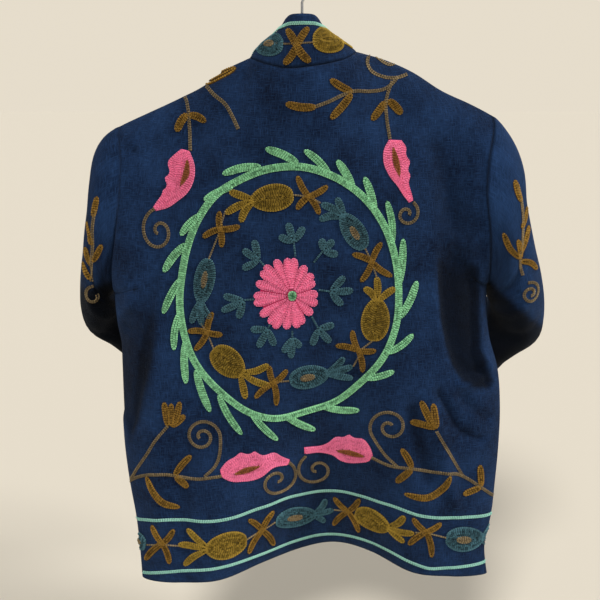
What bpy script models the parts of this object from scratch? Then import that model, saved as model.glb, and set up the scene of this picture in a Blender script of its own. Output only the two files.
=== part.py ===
"""Reversible jacket hanging from a wire hook, back towards -Y, metres, +Z up, origin in the hook's apex."""
import math

import bmesh
import bpy
import numpy as np
from mathutils import Vector

for old in list(bpy.data.objects):
    bpy.data.objects.remove(old, do_unlink=True)

# cloth and seams
CLOTH = 0.0020
SEAM_GAP = 0.0003
SET_IN_GAP = 0.0005

# heights along the garment
UNDERARM_V = 0.355
TIP_Z = {"left": -0.2015, "right": -0.1885}
HEM_SIDE_Z = {"left": -0.790, "right": -0.786}
HEM_RISE = 0.013
HEM_RISE_AT = 0.16

# armhole and side seams
ARMHOLE_BACK_DEPTH = 0.045
ARMHOLE_FRONT_DEPTH = 0.050
UNDERARM_Y = 0.004
HEM_SIDE_Y = -0.046
ROUND_SHARE = 0.22
RIDGE_V = 0.070
ARCH = 0.072
ARCH_V = 0.30

# neck
NECK_X = {"left": -0.064, "right": 0.067}
NECK_BACK_Y = -0.050
NECK_FRONT_Y = 0.058
NECK_FRONT_DROP = 0.085
OPENING_TOP = 0.004
OPENING_HEM = 0.0125

# side outline: height, left edge, right edge
SIDE_COLUMNS = ("z", "left", "right")
SIDE_TABLE = (
    (-0.180, -0.2275, 0.2360),
    (-0.200, -0.2262, 0.2342),
    (-0.240, -0.2205, 0.2265),
    (-0.280, -0.2222, 0.2245),
    (-0.330, -0.2300, 0.2320),
    (-0.380, -0.2385, 0.2372),
    (-0.420, -0.2408, 0.2385),
    (-0.470, -0.2368, 0.2435),
    (-0.510, -0.2360, 0.2550),
    (-0.560, -0.2350, 0.2597),
    (-0.610, -0.2330, 0.2590),
    (-0.660, -0.2275, 0.2555),
    (-0.710, -0.2195, 0.2505),
    (-0.740, -0.2165, 0.2440),
    (-0.795, -0.2130, 0.2490),
)

# shoulder ridge: across, height
RIDGE_COLUMNS = ("x", "z")
RIDGE_TABLE = {
    "left": (
        (-0.2262, -0.2015), (-0.1880, -0.1850), (-0.1500, -0.1680),
        (-0.1190, -0.1525), (-0.0940, -0.1345), (-0.0640, -0.1205),
    ),
    "right": (
        (0.0670, -0.1135), (0.1010, -0.1227), (0.1350, -0.1370),
        (0.1700, -0.1585), (0.2070, -0.1750), (0.2352, -0.1885),
    ),
}

# back neck edge: across, height
NECK_BACK_TABLE = (
    (-0.0640, -0.1205), (-0.0390, -0.1287), (-0.0194, -0.1326), (0.0046, -0.1314),
    (0.0340, -0.1265), (0.0540, -0.1208), (0.0670, -0.1135),
)

# depth of the back in millimetres, away from the wearer is negative: one row a height v
BACK_COLUMNS = ("v", -0.80, -0.55, -0.30, -0.10, 0.15, 0.35, 0.55, 0.80)
BACK_TABLE = (
    (0.00, -26, -28, -32, -52, -52, -32, -28, -26),
    (0.07, -31, -33, -40, -57, -57, -40, -33, -29),
    (0.16, -42, -46, -52, -61, -61, -52, -44, -32),
    (0.28, -52, -54, -60, -64, -63, -58, -50, -36),
    (0.40, -57, -54, -62, -64, -63, -60, -53, -40),
    (0.52, -60, -54, -61, -60, -59, -60, -55, -44),
    (0.64, -62, -58, -59, -51, -49, -56, -60, -50),
    (0.76, -64, -64, -53, -36, -33, -44, -62, -55),
    (0.88, -66, -66, -41, -17, -10, -27, -57, -59),
    (1.00, -67, -63, -21, 5, 16, -7, -50, -58),
)

# depth of the fronts in millimetres: one row a height v, columns from the side seam to the opening
FRONT_COLUMNS = ("v", 0.20, 0.45, 0.72, 1.00)
FRONT_TABLE = (
    (0.00, 24, 26, 34, 58),
    (0.07, 28, 30, 38, 60),
    (0.16, 36, 42, 50, 62),
    (0.28, 42, 50, 56, 62),
    (0.40, 44, 52, 57, 61),
    (0.60, 46, 56, 60, 63),
    (0.80, 48, 62, 66, 68),
    (1.00, 50, 68, 74, 72),
)

# sleeve rings: centre, turn of the section from upright to level, bend at the elbow, half sizes
SLEEVE_COLUMNS = ("x", "y", "z", "tilt", "bend", "half_thick", "half_deep")
SLEEVE_TABLE = {
    "left": (
        (-0.2450, 0.005, -0.3130, 1, 0, 0.0970, 0.050),
        (-0.2530, 0.008, -0.3235, 4, 0, 0.0880, 0.054),
        (-0.2570, 0.012, -0.3385, 6, 0, 0.0755, 0.058),
        (-0.2600, 0.017, -0.3550, 9, 0, 0.0615, 0.061),
        (-0.2632, 0.022, -0.3705, 14, 1, 0.0490, 0.062),
        (-0.2652, 0.027, -0.3870, 22, 3, 0.0380, 0.063),
        (-0.2672, 0.034, -0.4030, 37, 7, 0.0300, 0.063),
        (-0.2690, 0.044, -0.4190, 57, 15, 0.0262, 0.062),
        (-0.2725, 0.057, -0.4355, 77, 27, 0.0260, 0.060),
        (-0.2740, 0.074, -0.4500, 88, 39, 0.0260, 0.056),
        (-0.2600, 0.094, -0.4650, 90, 47, 0.0250, 0.056),
    ),
    "right": (
        (0.2458, 0.005, -0.3020, 3, 0, 0.0985, 0.050),
        (0.2545, 0.008, -0.3140, 8, 0, 0.0885, 0.055),
        (0.2605, 0.012, -0.3290, 13, 0, 0.0770, 0.059),
        (0.2632, 0.017, -0.3480, 19, 0, 0.0620, 0.062),
        (0.2675, 0.022, -0.3655, 28, 1, 0.0505, 0.063),
        (0.2725, 0.027, -0.3845, 42, 3, 0.0415, 0.064),
        (0.2785, 0.034, -0.4035, 60, 7, 0.0375, 0.065),
        (0.2850, 0.044, -0.4230, 78, 15, 0.0370, 0.065),
        (0.2920, 0.057, -0.4430, 88, 27, 0.0375, 0.063),
        (0.2960, 0.074, -0.4600, 90, 39, 0.0380, 0.059),
        (0.2860, 0.094, -0.4770, 90, 47, 0.0345, 0.059),
    ),
}
FOREARM_LENGTH = 0.245
FOREARM_RINGS = 8
FOREARM_BEND = 49.0
FOREARM_INWARD = 0.64
CUFF_HALF = (0.024, 0.055)

# collar top edge from the back's middle to the end, right half: across, depth, height
COLLAR_TOP_TABLE = (
    (0.0000, -0.0380, -0.0715), (0.0120, -0.0350, -0.0722), (0.0190, -0.0230, -0.0765),
    (0.0225, -0.0040, -0.0830), (0.0260, 0.0200, -0.0930), (0.0275, 0.0460, -0.1090),
    (0.0210, 0.0660, -0.1300), (0.0120, 0.0760, -0.1510),
)
COLLAR_ROWS = 6

# hanger
BAR_HALF_WIDE = 0.0060
BAR_HALF_HIGH = 0.0100
BAR_CENTRE_Z = -0.1400
BAR_FREE_X = 0.085
BAR_GAP = 0.0005
BAR_REACH = 0.205
WIRE_RADIUS = 0.0016
HOOK_INNER = 0.0220
BORE_RADIUS = 0.0019
STEM_TOP_Z = -0.0560
STEM_IN_BAR = 0.0110

# mesh steps
ARM_STEPS = 10
BODY_STEPS = 16
SHOULDER_STEPS = 9
NECK_STEPS = 10
FRONT_NECK_ANGLES = (16.0, 30.0, 44.0, 58.0, 74.0, 90.0)
FRONT_NECK_POWER = 1.6


def curve(xs, ys, x):
    """Smooth curve through the points (xs, ys), with slopes that don't overshoot."""
    xs, ys = np.asarray(xs, float), np.asarray(ys, float)
    x = np.clip(np.asarray(x, float), xs[0], xs[-1])
    steps = np.diff(xs)
    rise = np.diff(ys, axis=0) / steps.reshape(-1, *[1] * (ys.ndim - 1))
    slope = np.empty_like(ys)
    slope[0], slope[-1] = rise[0], rise[-1]
    left, right = steps[:-1], steps[1:]
    shape = (-1,) + (1,) * (ys.ndim - 1)
    mean = (rise[:-1] * right.reshape(shape) + rise[1:] * left.reshape(shape)) / (left + right).reshape(shape)
    slope[1:-1] = mean
    at = np.clip(np.searchsorted(xs, x, side="right") - 1, 0, len(xs) - 2)
    h = steps[at]
    t = (x - xs[at]) / h
    shape = t.shape + (1,) * (ys.ndim - 1)
    t, h = t.reshape(shape), h.reshape(shape)
    return (
        (2 * t**3 - 3 * t**2 + 1) * ys[at]
        + (t**3 - 2 * t**2 + t) * h * slope[at]
        + (3 * t**2 - 2 * t**3) * ys[at + 1]
        + (t**3 - t**2) * h * slope[at + 1]
    )


def column(table, index):
    return [row[index] for row in table]


def v_rows():
    """Heights from the shoulder ridge (0) to the hem (1), with one at the underarm."""
    arm = [UNDERARM_V * (1 - math.cos(math.pi * k / ARM_STEPS)) / 2 for k in range(ARM_STEPS + 1)]
    body = [UNDERARM_V + (1 - UNDERARM_V) * k / BODY_STEPS for k in range(1, BODY_STEPS + 1)]
    return np.array(arm + body)


def side_edge(v, side, face):
    """Edge of a body panel: the armhole down to the underarm, then the side seam."""
    z = TIP_Z[side] + (HEM_SIDE_Z[side] - TIP_Z[side]) * v
    heights = [-h for h in column(SIDE_TABLE, 0)]
    x = curve(heights, column(SIDE_TABLE, SIDE_COLUMNS.index(side)), -z)
    turn = np.arccos(np.clip(1 - 2 * v / UNDERARM_V, -1, 1))
    deep = -ARMHOLE_BACK_DEPTH if face == "back" else ARMHOLE_FRONT_DEPTH
    upper = UNDERARM_Y * v / UNDERARM_V + deep * np.sin(turn)
    below = np.clip((v - UNDERARM_V) / (1 - UNDERARM_V), 0, 1)
    lower = UNDERARM_Y + (HEM_SIDE_Y - UNDERARM_Y) * below**1.2
    return x, np.where(v < UNDERARM_V - 1e-9, upper, lower), z


def tip_x(side):
    return float(side_edge(np.zeros(1), side, "back")[0][0])


def width_share(x):
    """Place of a point of the top edge between the two side edges, -1 to 1."""
    left, right = tip_x("left"), tip_x("right")
    return (np.asarray(x) - (left + right) / 2) / ((right - left) / 2)


def shoulder_xs(side):
    """Across positions of the shoulder columns from the tip to the neck."""
    tip = tip_x(side)
    t = np.linspace(0, 1, SHOULDER_STEPS + 1)
    t = 0.75 * t + 0.25 * t**2
    return tip + (NECK_X[side] - tip) * t


def top_edge(x, face):
    """Depth and height of the panels' top edge: shoulder ridge, then the neck edge."""
    x = np.asarray(x, float)
    z = np.empty_like(x)
    y = np.zeros_like(x)
    for side in ("left", "right"):
        out = x <= NECK_X["left"] if side == "left" else x >= NECK_X["right"]
        table = RIDGE_TABLE[side]
        z[out] = curve(column(table, 0), column(table, 1), x[out])
    inside = (x > NECK_X["left"]) & (x < NECK_X["right"])
    if face == "back":
        z[inside] = curve(column(NECK_BACK_TABLE, 0), column(NECK_BACK_TABLE, 1), x[inside])
        middle = (NECK_X["left"] + NECK_X["right"]) / 2
        half = (NECK_X["right"] - NECK_X["left"]) / 2
        y[inside] = NECK_BACK_Y * np.sqrt(np.clip(1 - ((x[inside] - middle) / half) ** 2, 0, 1))
        return y, z
    for side, sign in (("left", -1), ("right", 1)):
        mine = inside & (x * sign > 0)
        start = NECK_X[side]
        end = sign * OPENING_TOP
        share = np.clip((x[mine] - end) / (start - end), 0, 1)
        angle = np.pi / 2 * (1 - share) ** (1 / FRONT_NECK_POWER)
        ridge = float(top_edge(np.array([start]), "back")[1][0])
        z[mine] = ridge - NECK_FRONT_DROP * np.sin(angle) ** 1.5
        y[mine] = NECK_FRONT_Y * np.sin(angle) ** 0.8
    return y, z


def ridge_rise(v):
    """How far the cloth has turned over the shoulder ridge, 0 to 1."""
    t = np.clip(v / RIDGE_V, 0, 1)
    return np.sqrt(1 - (1 - t) ** 2)


def round_side(s):
    """Quarter-round turn of a panel into its side edge, 0 at the edge."""
    t = np.clip((np.abs(s) - (1 - ROUND_SHARE)) / ROUND_SHARE, 0, 1)
    return np.sqrt(np.clip(1 - t**2, 0, 1))


def table_depth(columns, table, s, v):
    stations = columns[1:]
    rows = np.array([row[1:] for row in table], float) / 1000
    by_v = curve(column(table, 0), rows, v)
    return np.array([curve(stations, line, a) for line, a in zip(by_v, s)])


def level_rows(s, v, top_z, hem):
    """Heights of the rows: they follow the top edge near it and an even arch below."""
    arch = np.interp(s, (-1, 1), (TIP_Z["left"], TIP_Z["right"])) + ARCH * (1 - s**2)
    near = np.clip(1 - v / ARCH_V, 0, 1) ** 2
    top = arch[None, :] + (top_z - arch)[None, :] * near[:, None]
    return top + (hem[None, :] - top) * v[:, None]


def back_grid():
    xs = np.concatenate((
        shoulder_xs("left"),
        NECK_X["left"] + (NECK_X["right"] - NECK_X["left"]) * (
            1 - np.cos(np.pi * np.arange(1, NECK_STEPS) / NECK_STEPS)) / 2,
        shoulder_xs("right")[::-1],
    ))
    v = v_rows()
    s = width_share(xs)
    top_y, top_z = top_edge(xs, "back")
    s[0], s[-1] = -1.0, 1.0
    grid = np.empty((len(v), len(xs), 3))
    lx, ly, lz = side_edge(v, "left", "back")
    rx, ry, rz = side_edge(v, "right", "back")
    share = (s + 1) / 2
    across = lx[:, None] + (rx - lx)[:, None] * share[None, :]
    hem = HEM_SIDE_Z["left"] + (HEM_SIDE_Z["right"] - HEM_SIDE_Z["left"]) * share
    hem = hem + HEM_RISE * np.exp(-((s - HEM_RISE_AT) / 0.42) ** 2) * (1 - s**2)
    down = level_rows(s, v, top_z, hem)
    inner = table_depth(BACK_COLUMNS, BACK_TABLE, np.repeat(s[None, :], len(v), 0), v)
    edge = np.where(s[None, :] < 0, ly[:, None], ry[:, None])
    deep = edge + (inner - edge) * round_side(s)[None, :]
    deep = top_y[None, :] + (deep - top_y[None, :]) * ridge_rise(v)[:, None]
    grid[..., 0], grid[..., 1], grid[..., 2] = across, deep, down
    grid[:, 0] = np.stack((lx, ly, lz), -1)
    grid[:, -1] = np.stack((rx, ry, rz), -1)
    return grid


def front_grid(side):
    sign = -1 if side == "left" else 1
    shoulder = shoulder_xs(side)
    end = sign * OPENING_TOP
    neck = [end + (NECK_X[side] - end) * (1 - (a / 90) ** FRONT_NECK_POWER) for a in FRONT_NECK_ANGLES]
    xs = np.concatenate((shoulder, neck))
    xs[-1] = end
    v = v_rows()
    ex, ey, ez = side_edge(v, side, "front")
    q = (xs - ex[0]) / (end - ex[0])
    q[0], q[-1] = 0.0, 1.0
    top_y, top_z = top_edge(xs, "front")
    ridge = float(top_edge(np.array([NECK_X[side]]), "back")[1][0])
    top_y[-1], top_z[-1] = NECK_FRONT_Y, ridge - NECK_FRONT_DROP
    middle = sign * (OPENING_TOP + (OPENING_HEM - OPENING_TOP) * v)
    across = ex[:, None] + (middle - ex)[:, None] * q[None, :]
    hem = HEM_SIDE_Z[side] + 0.006 * q
    down = top_z[None, :] + (hem - top_z)[None, :] * v[:, None]
    inner = table_depth(FRONT_COLUMNS, FRONT_TABLE, np.repeat(q[None, :], len(v), 0), v)
    turn = np.clip((q - 0.0) / (2 * ROUND_SHARE), 0, 1)
    blend = np.sqrt(1 - (1 - turn) ** 2)
    deep = ey[:, None] + (inner - ey[:, None]) * blend[None, :]
    deep = top_y[None, :] + (deep - top_y[None, :]) * ridge_rise(v)[:, None]
    grid = np.stack((across, deep, down), -1)
    grid[:, 0] = np.stack((ex, ey, ez), -1)
    return grid


def turned(vector, axis, degrees):
    angle = math.radians(degrees)
    axis = axis / np.linalg.norm(axis)
    return (
        vector * math.cos(angle)
        + np.cross(axis, vector) * math.sin(angle)
        + axis * np.dot(axis, vector) * (1 - math.cos(angle))
    )


def sleeve_grid(side, back, front):
    """Rings from the armhole to the cuff, each with a point for every armhole point."""
    out = -1 if side == "left" else 1
    edge = 0 if side == "left" else -1
    hole = [back[k, edge] for k in range(ARM_STEPS + 1)]
    hole += [front[k, 0] for k in range(ARM_STEPS - 1, 0, -1)]
    hole = np.array(hole)
    count = len(hole)
    angle = 2 * np.pi * np.arange(count) / count
    heading = np.array([-out * FOREARM_INWARD, math.sqrt(1 - FOREARM_INWARD**2), 0.0])
    axis = np.cross(np.array([0.0, 0.0, -1.0]), heading)
    rows = [dict(zip(SLEEVE_COLUMNS, row)) for row in SLEEVE_TABLE[side]]
    last = rows[-1]
    middle = np.array([last["x"], last["y"], last["z"]])
    path = turned(np.array([0.0, 0.0, -1.0]), axis, FOREARM_BEND)
    for k in range(1, FOREARM_RINGS + 1):
        t = k / FOREARM_RINGS
        place = middle + path * FOREARM_LENGTH * t
        rows.append(dict(
            x=place[0], y=place[1], z=place[2], tilt=90.0,
            bend=last["bend"] + (FOREARM_BEND - last["bend"]) * min(1.0, 3 * t),
            half_thick=last["half_thick"] + (CUFF_HALF[0] - last["half_thick"]) * t,
            half_deep=last["half_deep"] + (CUFF_HALF[1] - last["half_deep"]) * t,
        ))
    rings = []
    for row in rows:
        tilt = math.radians(row["tilt"])
        long_axis = turned(np.array([out * math.sin(tilt), 0.0, math.cos(tilt)]), axis, row["bend"])
        deep_axis = turned(np.array([0.0, -1.0, 0.0]), axis, row["bend"])
        centre = np.array([row["x"], row["y"], row["z"]])
        rings.append(
            centre
            + row["half_thick"] * np.cos(angle)[:, None] * long_axis
            + row["half_deep"] * np.sin(angle)[:, None] * deep_axis
        )
    centre = (hole[0] + hole[ARM_STEPS]) / 2
    plain = (
        centre
        + np.cos(angle)[:, None] * (hole[0] - centre)
        + np.sin(angle)[:, None] * np.array([0.0, -ARMHOLE_BACK_DEPTH, 0.0])
    )
    rest = hole - plain
    for k, share in ((0, 0.5), (1, 0.2)):
        rings[k] = rings[k] + rest * share
    return np.array([hole] + rings)


def collar_grid(back, left, right):
    neck_left = left[0, SHOULDER_STEPS:][::-1]
    neck_back = back[0, SHOULDER_STEPS:SHOULDER_STEPS + NECK_STEPS + 1]
    neck_right = right[0, SHOULDER_STEPS:]
    base = np.concatenate((neck_left[:-1], neck_back, neck_right[1:]))
    run = np.concatenate(([0], np.cumsum(np.linalg.norm(np.diff(base, axis=0), axis=1))))
    middle = np.interp(0.0, base[len(neck_left) - 1:len(neck_left) + NECK_STEPS, 0],
                       run[len(neck_left) - 1:len(neck_left) + NECK_STEPS])
    half = np.array(COLLAR_TOP_TABLE)
    reach = np.concatenate(([0], np.cumsum(np.linalg.norm(np.diff(half, axis=0), axis=1))))
    reach = reach / reach[-1]
    top = []
    for place in run:
        to_right = place > middle
        share = (place - middle) / (run[-1] - middle) if to_right else (middle - place) / middle
        point = curve(reach, half, np.array(share)).reshape(3).copy()
        point[0] *= 1 if to_right else -1
        top.append(point)
    top = np.array(top)
    grid = []
    for k in range(COLLAR_ROWS + 1):
        t = k / COLLAR_ROWS
        lift = base + (top - base) * t
        swell = 0.0035 * math.sin(math.pi * t)
        side = lift - np.array([0.0, 0.02, 0.0])
        side[:, 2] = 0
        side = side / np.linalg.norm(side, axis=1)[:, None]
        grid.append(lift + side * swell)
    return np.array(grid)


def grid_normals(grid, closed):
    """Unit normals of a grid of points, by the differences along and across."""
    if closed:
        across = np.roll(grid, -1, axis=1) - np.roll(grid, 1, axis=1)
    else:
        across = np.gradient(grid, axis=1)
    along = np.gradient(grid, axis=0)
    normal = np.cross(across, along)
    return normal / np.linalg.norm(normal, axis=2)[..., None]


class Sheet:
    """A panel of cloth: its grid of points, the normals towards its right side and its seam edges."""

    def __init__(self, name, grid, outward, closed=False, seams=()):
        self.name, self.grid, self.closed, self.seams = name, grid, closed, seams
        self.normals = grid_normals(grid, closed)
        middle = (grid.shape[0] // 2, grid.shape[1] // 2)
        if np.dot(self.normals[middle], outward(grid[middle])) < 0:
            self.normals = -self.normals
        self.flip = False
        across = grid[middle[0], middle[1] + 1] - grid[middle]
        along = grid[middle[0] + 1, middle[1]] - grid[middle]
        self.flip = np.dot(np.cross(across, along), self.normals[middle]) < 0

    def on_seam(self, r, c):
        cols = self.grid.shape[1]
        for edge, first, last, gap in self.seams:
            if edge == "top" and r == 0 and first <= c <= last:
                return True
            if edge == "left" and c == 0 and first <= r <= last:
                return True
            if edge == "right" and c == cols - 1 and first <= r <= last:
                return True
        return False


def key(point):
    return tuple(round(float(a) * 1e6) for a in point)


def join_normals(sheets, lines):
    """One normal for all the panels that meet in a seam point."""
    total = {}
    for sheet in sheets:
        rows, cols = sheet.grid.shape[:2]
        for r in range(rows):
            for c in range(cols):
                if sheet.on_seam(r, c):
                    name = key(sheet.grid[r, c])
                    total[name] = total.get(name, 0) + sheet.normals[r, c]
    for line, closed in lines:
        names = [key(point) for point in line]
        found = np.array([total[n] / np.linalg.norm(total[n]) for n in names])
        before, after = np.roll(found, 1, axis=0), np.roll(found, -1, axis=0)
        if not closed:
            before[0], after[-1] = found[0], found[-1]
        for name, normal in zip(names, before + 2 * found + after):
            total[name] = normal
    for sheet in sheets:
        rows, cols = sheet.grid.shape[:2]
        for r in range(rows):
            for c in range(cols):
                if sheet.on_seam(r, c):
                    normal = total[key(sheet.grid[r, c])]
                    sheet.normals[r, c] = normal / np.linalg.norm(normal)


def inset(sheet):
    """Move the seam edges back by half the seam gap, square to the seam and along the cloth."""
    base = sheet.grid
    grid = base.copy()
    rows, cols = grid.shape[:2]
    moves = {}
    for edge, first, last, gap in sheet.seams:
        stop = min(last, cols) if edge == "top" else last
        for k in range(first, stop):
            if edge == "top":
                a, b = (0, k % cols), (0, (k + 1) % cols)
                inner = (base[1, a[1]] + base[1, b[1]]) / 2
            else:
                side, step = (0, 1) if edge == "left" else (cols - 1, -1)
                a, b = (k, side), (k + 1, side)
                inner = (base[k, side + step] + base[k + 1, side + step]) / 2
            line = base[b] - base[a]
            for end in (a, b):
                square = np.cross(sheet.normals[end], line)
                square = square / np.linalg.norm(square)
                if np.dot(square, inner - (base[a] + base[b]) / 2) < 0:
                    square = -square
                moves.setdefault(end, []).append((square, gap / 2))
    for end, wanted in moves.items():
        ways = np.array([w for w, g in wanted])
        sizes = np.array([g for w, g in wanted])
        move = np.linalg.pinv(ways, rcond=0.35) @ sizes
        grid[end] += move
    return grid


def wall(sheet):
    """Closed wall of the sheet, half its thickness on each side of the grid."""
    grid = inset(sheet)
    rows, cols = grid.shape[:2]
    right = grid + sheet.normals * CLOTH / 2
    wrong = grid - sheet.normals * CLOTH / 2
    verts = np.concatenate((right.reshape(-1, 3), wrong.reshape(-1, 3)))
    half = rows * cols
    faces = []
    last = cols if sheet.closed else cols - 1
    for r in range(rows - 1):
        for c in range(last):
            d = (c + 1) % cols
            quad = [r * cols + c, r * cols + d, (r + 1) * cols + d, (r + 1) * cols + c]
            if sheet.flip:
                quad.reverse()
            flat = grid.reshape(-1, 3)
            if np.linalg.norm(flat[quad[0]] - flat[quad[2]]) > np.linalg.norm(flat[quad[1]] - flat[quad[3]]):
                quad = quad[1:] + quad[:1]
            for i, j, k in ((0, 1, 2), (0, 2, 3)):
                faces.append([quad[i], quad[j], quad[k]])
                faces.append([half + quad[k], half + quad[j], half + quad[i]])
    rim = [(c, (c + 1) % cols) for c in range(last)]
    for r, forward in ((0, False), (rows - 1, True)):
        for c, d in rim:
            quad = [r * cols + c, r * cols + d, half + r * cols + d, half + r * cols + c]
            if forward == sheet.flip:
                quad.reverse()
            faces.append(list(reversed(quad)))
    if not sheet.closed:
        for c, forward in ((0, True), (cols - 1, False)):
            for r in range(rows - 1):
                a, b = r * cols + c, (r + 1) * cols + c
                quad = [a, b, half + b, half + a]
                if forward == sheet.flip:
                    quad.reverse()
                faces.append(list(reversed(quad)))
    return verts, faces


collection = bpy.data.collections.new("jacket_on_hanger")
bpy.context.scene.collection.children.link(collection)
cutters = bpy.data.collections.new("cutters")
bpy.context.scene.collection.children.link(cutters)


def material(name, color, metallic, roughness):
    made = bpy.data.materials.new(name)
    made.use_nodes = True
    shader = made.node_tree.nodes["Principled BSDF"]
    shader.inputs["Base Color"].default_value = (*color, 1.0)
    shader.inputs["Metallic"].default_value = metallic
    shader.inputs["Roughness"].default_value = roughness
    return made


def add_object(name, verts, faces, shade, into=collection):
    mesh = bpy.data.meshes.new(name)
    mesh.from_pydata([tuple(p) for p in verts], [], faces)
    mesh.validate()
    work = bmesh.new()
    work.from_mesh(mesh)
    bmesh.ops.recalc_face_normals(work, faces=work.faces)
    work.to_mesh(mesh)
    work.free()
    mesh.materials.append(shade)
    made = bpy.data.objects.new(name, mesh)
    into.objects.link(made)
    return made


def tube(points, sections):
    """Closed tube: one closed section of points a station, with flat ends."""
    count = len(sections[0])
    verts = [p for ring in sections for p in ring]
    faces = []
    for r in range(len(sections) - 1):
        for c in range(count):
            d = (c + 1) % count
            faces.append([r * count + c, r * count + d, (r + 1) * count + d, (r + 1) * count + c])
    faces.append(list(range(count)))
    faces.append([(len(sections) - 1) * count + c for c in range(count)])
    return verts, faces


def bar():
    """Plain curved bar whose top follows the inside of the shoulder ridge."""
    drop = CLOTH / 2 + BAR_GAP + BAR_HALF_HIGH
    stations = []
    for side in ("left", "right"):
        xs = np.array([x for x in shoulder_xs(side) if BAR_FREE_X <= abs(x) <= BAR_REACH])
        z = top_edge(xs, "back")[1]
        slope = np.gradient(z, xs)
        size = np.sqrt(1 + slope**2)
        part = list(zip(xs + slope / size * drop, z - drop / size))
        stations += part if side == "left" else part[::-1]
    inner = [s for s in stations if s[0] < 0]
    outer = [s for s in stations if s[0] > 0]
    knots = [inner[-2], inner[-1], (0.0, BAR_CENTRE_Z), outer[0], outer[1]]
    xs = np.linspace(inner[-1][0], outer[0][0], 11)[1:-1]
    between = curve([k[0] for k in knots], [k[1] for k in knots], xs)
    stations = inner + list(zip(xs, between)) + outer
    sections = []
    for k, (x, z) in enumerate(stations):
        before, after = stations[max(k - 1, 0)], stations[min(k + 1, len(stations) - 1)]
        slope = Vector((after[0] - before[0], 0, after[1] - before[1])).normalized()
        up = Vector((-slope.z, 0, slope.x))
        ends = min(abs(x - stations[0][0]), abs(x - stations[-1][0]))
        size = 0.8 if ends < 0.001 else 1.0
        wide, high = BAR_HALF_WIDE * size, BAR_HALF_HIGH * size
        centre = Vector((x, 0, z + BAR_HALF_HIGH - high))
        sections.append([
            tuple(centre + Vector((0, 1, 0)) * wide * math.cos(a) + up * high * math.sin(a))
            for a in (2 * math.pi * i / 16 for i in range(16))
        ])
    return tube(stations, sections)


def hook_points():
    """Centreline of the hook wire: stem, sideways bend, round over the top, open end."""
    radius = HOOK_INNER + WIRE_RADIUS
    centre = Vector((0, 0, -HOOK_INNER))
    bottom = BAR_CENTRE_Z + BAR_HALF_HIGH - STEM_IN_BAR
    points = [Vector((0, 0, bottom + (STEM_TOP_Z - bottom) * t)) for t in (0, 0.34, 0.67, 0.92)]
    start = math.radians(-42)
    end = centre + Vector((math.cos(start), 0, math.sin(start))) * radius
    a, b = Vector((0, 0, STEM_TOP_Z)), end
    way_a = Vector((0, 0, 1)) * 0.016
    way_b = Vector((-math.sin(start), 0, math.cos(start))) * 0.020
    for t in (0.0, 0.2, 0.4, 0.6, 0.8):
        points.append(
            a * (2 * t**3 - 3 * t**2 + 1) + way_a * (t**3 - 2 * t**2 + t)
            + b * (3 * t**2 - 2 * t**3) + way_b * (t**3 - t**2)
        )
    for k in range(17):
        turn = start + math.radians(248) * k / 16
        points.append(centre + Vector((math.cos(turn), 0, math.sin(turn))) * radius)
    return points


def hook():
    points = hook_points()
    sections = []
    for k, point in enumerate(points):
        way = (points[min(k + 1, len(points) - 1)] - points[max(k - 1, 0)]).normalized()
        side = Vector((0, 1, 0))
        up = way.cross(side).normalized()
        sections.append([
            tuple(point + (side * math.cos(a) + up * math.sin(a)) * WIRE_RADIUS)
            for a in (2 * math.pi * i / 12 for i in range(12))
        ])
    return tube(points, sections)


def cylinder(radius, low, high):
    sections = [
        [(radius * math.cos(a), radius * math.sin(a), z) for a in (2 * math.pi * i / 24 for i in range(24))]
        for z in (low, high)
    ]
    return tube(None, sections)


back = back_grid()
left = front_grid("left")
right = front_grid("right")
sleeve_left = sleeve_grid("left", back, left)
sleeve_right = sleeve_grid("right", back, right)
collar = collar_grid(back, left, right)
rows = len(back) - 1
neck = (SHOULDER_STEPS, SHOULDER_STEPS + NECK_STEPS)
last_back, last_front = back.shape[1] - 1, left.shape[1] - 1
sheets = [
    Sheet("back", back, lambda p: np.array([0, -1.0, 0]), seams=(
        ("top", 0, neck[0], SEAM_GAP), ("top", neck[0], neck[1], SET_IN_GAP),
        ("top", neck[1], last_back, SEAM_GAP),
        ("left", 0, ARM_STEPS, SET_IN_GAP), ("left", ARM_STEPS, rows, SEAM_GAP),
        ("right", 0, ARM_STEPS, SET_IN_GAP), ("right", ARM_STEPS, rows, SEAM_GAP),
    )),
]
for name, grid in (("front_left", left), ("front_right", right)):
    sheets.append(Sheet(name, grid, lambda p: np.array([0, 1.0, 0]), seams=(
        ("top", 0, SHOULDER_STEPS, SEAM_GAP), ("top", SHOULDER_STEPS, last_front, SET_IN_GAP),
        ("left", 0, ARM_STEPS, SET_IN_GAP), ("left", ARM_STEPS, rows, SEAM_GAP),
    )))
for name, grid in (("sleeve_left", sleeve_left), ("sleeve_right", sleeve_right)):
    middle = grid[len(grid) // 2].mean(axis=0)
    sheets.append(Sheet(name, grid, lambda p, m=middle: p - m, closed=True, seams=(("top", 0, 2 * ARM_STEPS, SET_IN_GAP),)))
sheets.append(Sheet("collar", collar, lambda p: np.array([0, -1.0, 0]), seams=(("top", 0, collar.shape[1] - 1, SET_IN_GAP),)))
join_normals(sheets, ((sleeve_left[0], True), (sleeve_right[0], True), (collar[0], False)))

cloth = material("navy_cotton", (0.030, 0.058, 0.135), 0.0, 0.85)
wood = material("hanger_wood", (0.42, 0.28, 0.15), 0.0, 0.5)
steel = material("hook_steel", (0.62, 0.62, 0.63), 1.0, 0.3)

for sheet in sheets:
    add_object(sheet.name, *wall(sheet), cloth)

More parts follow.
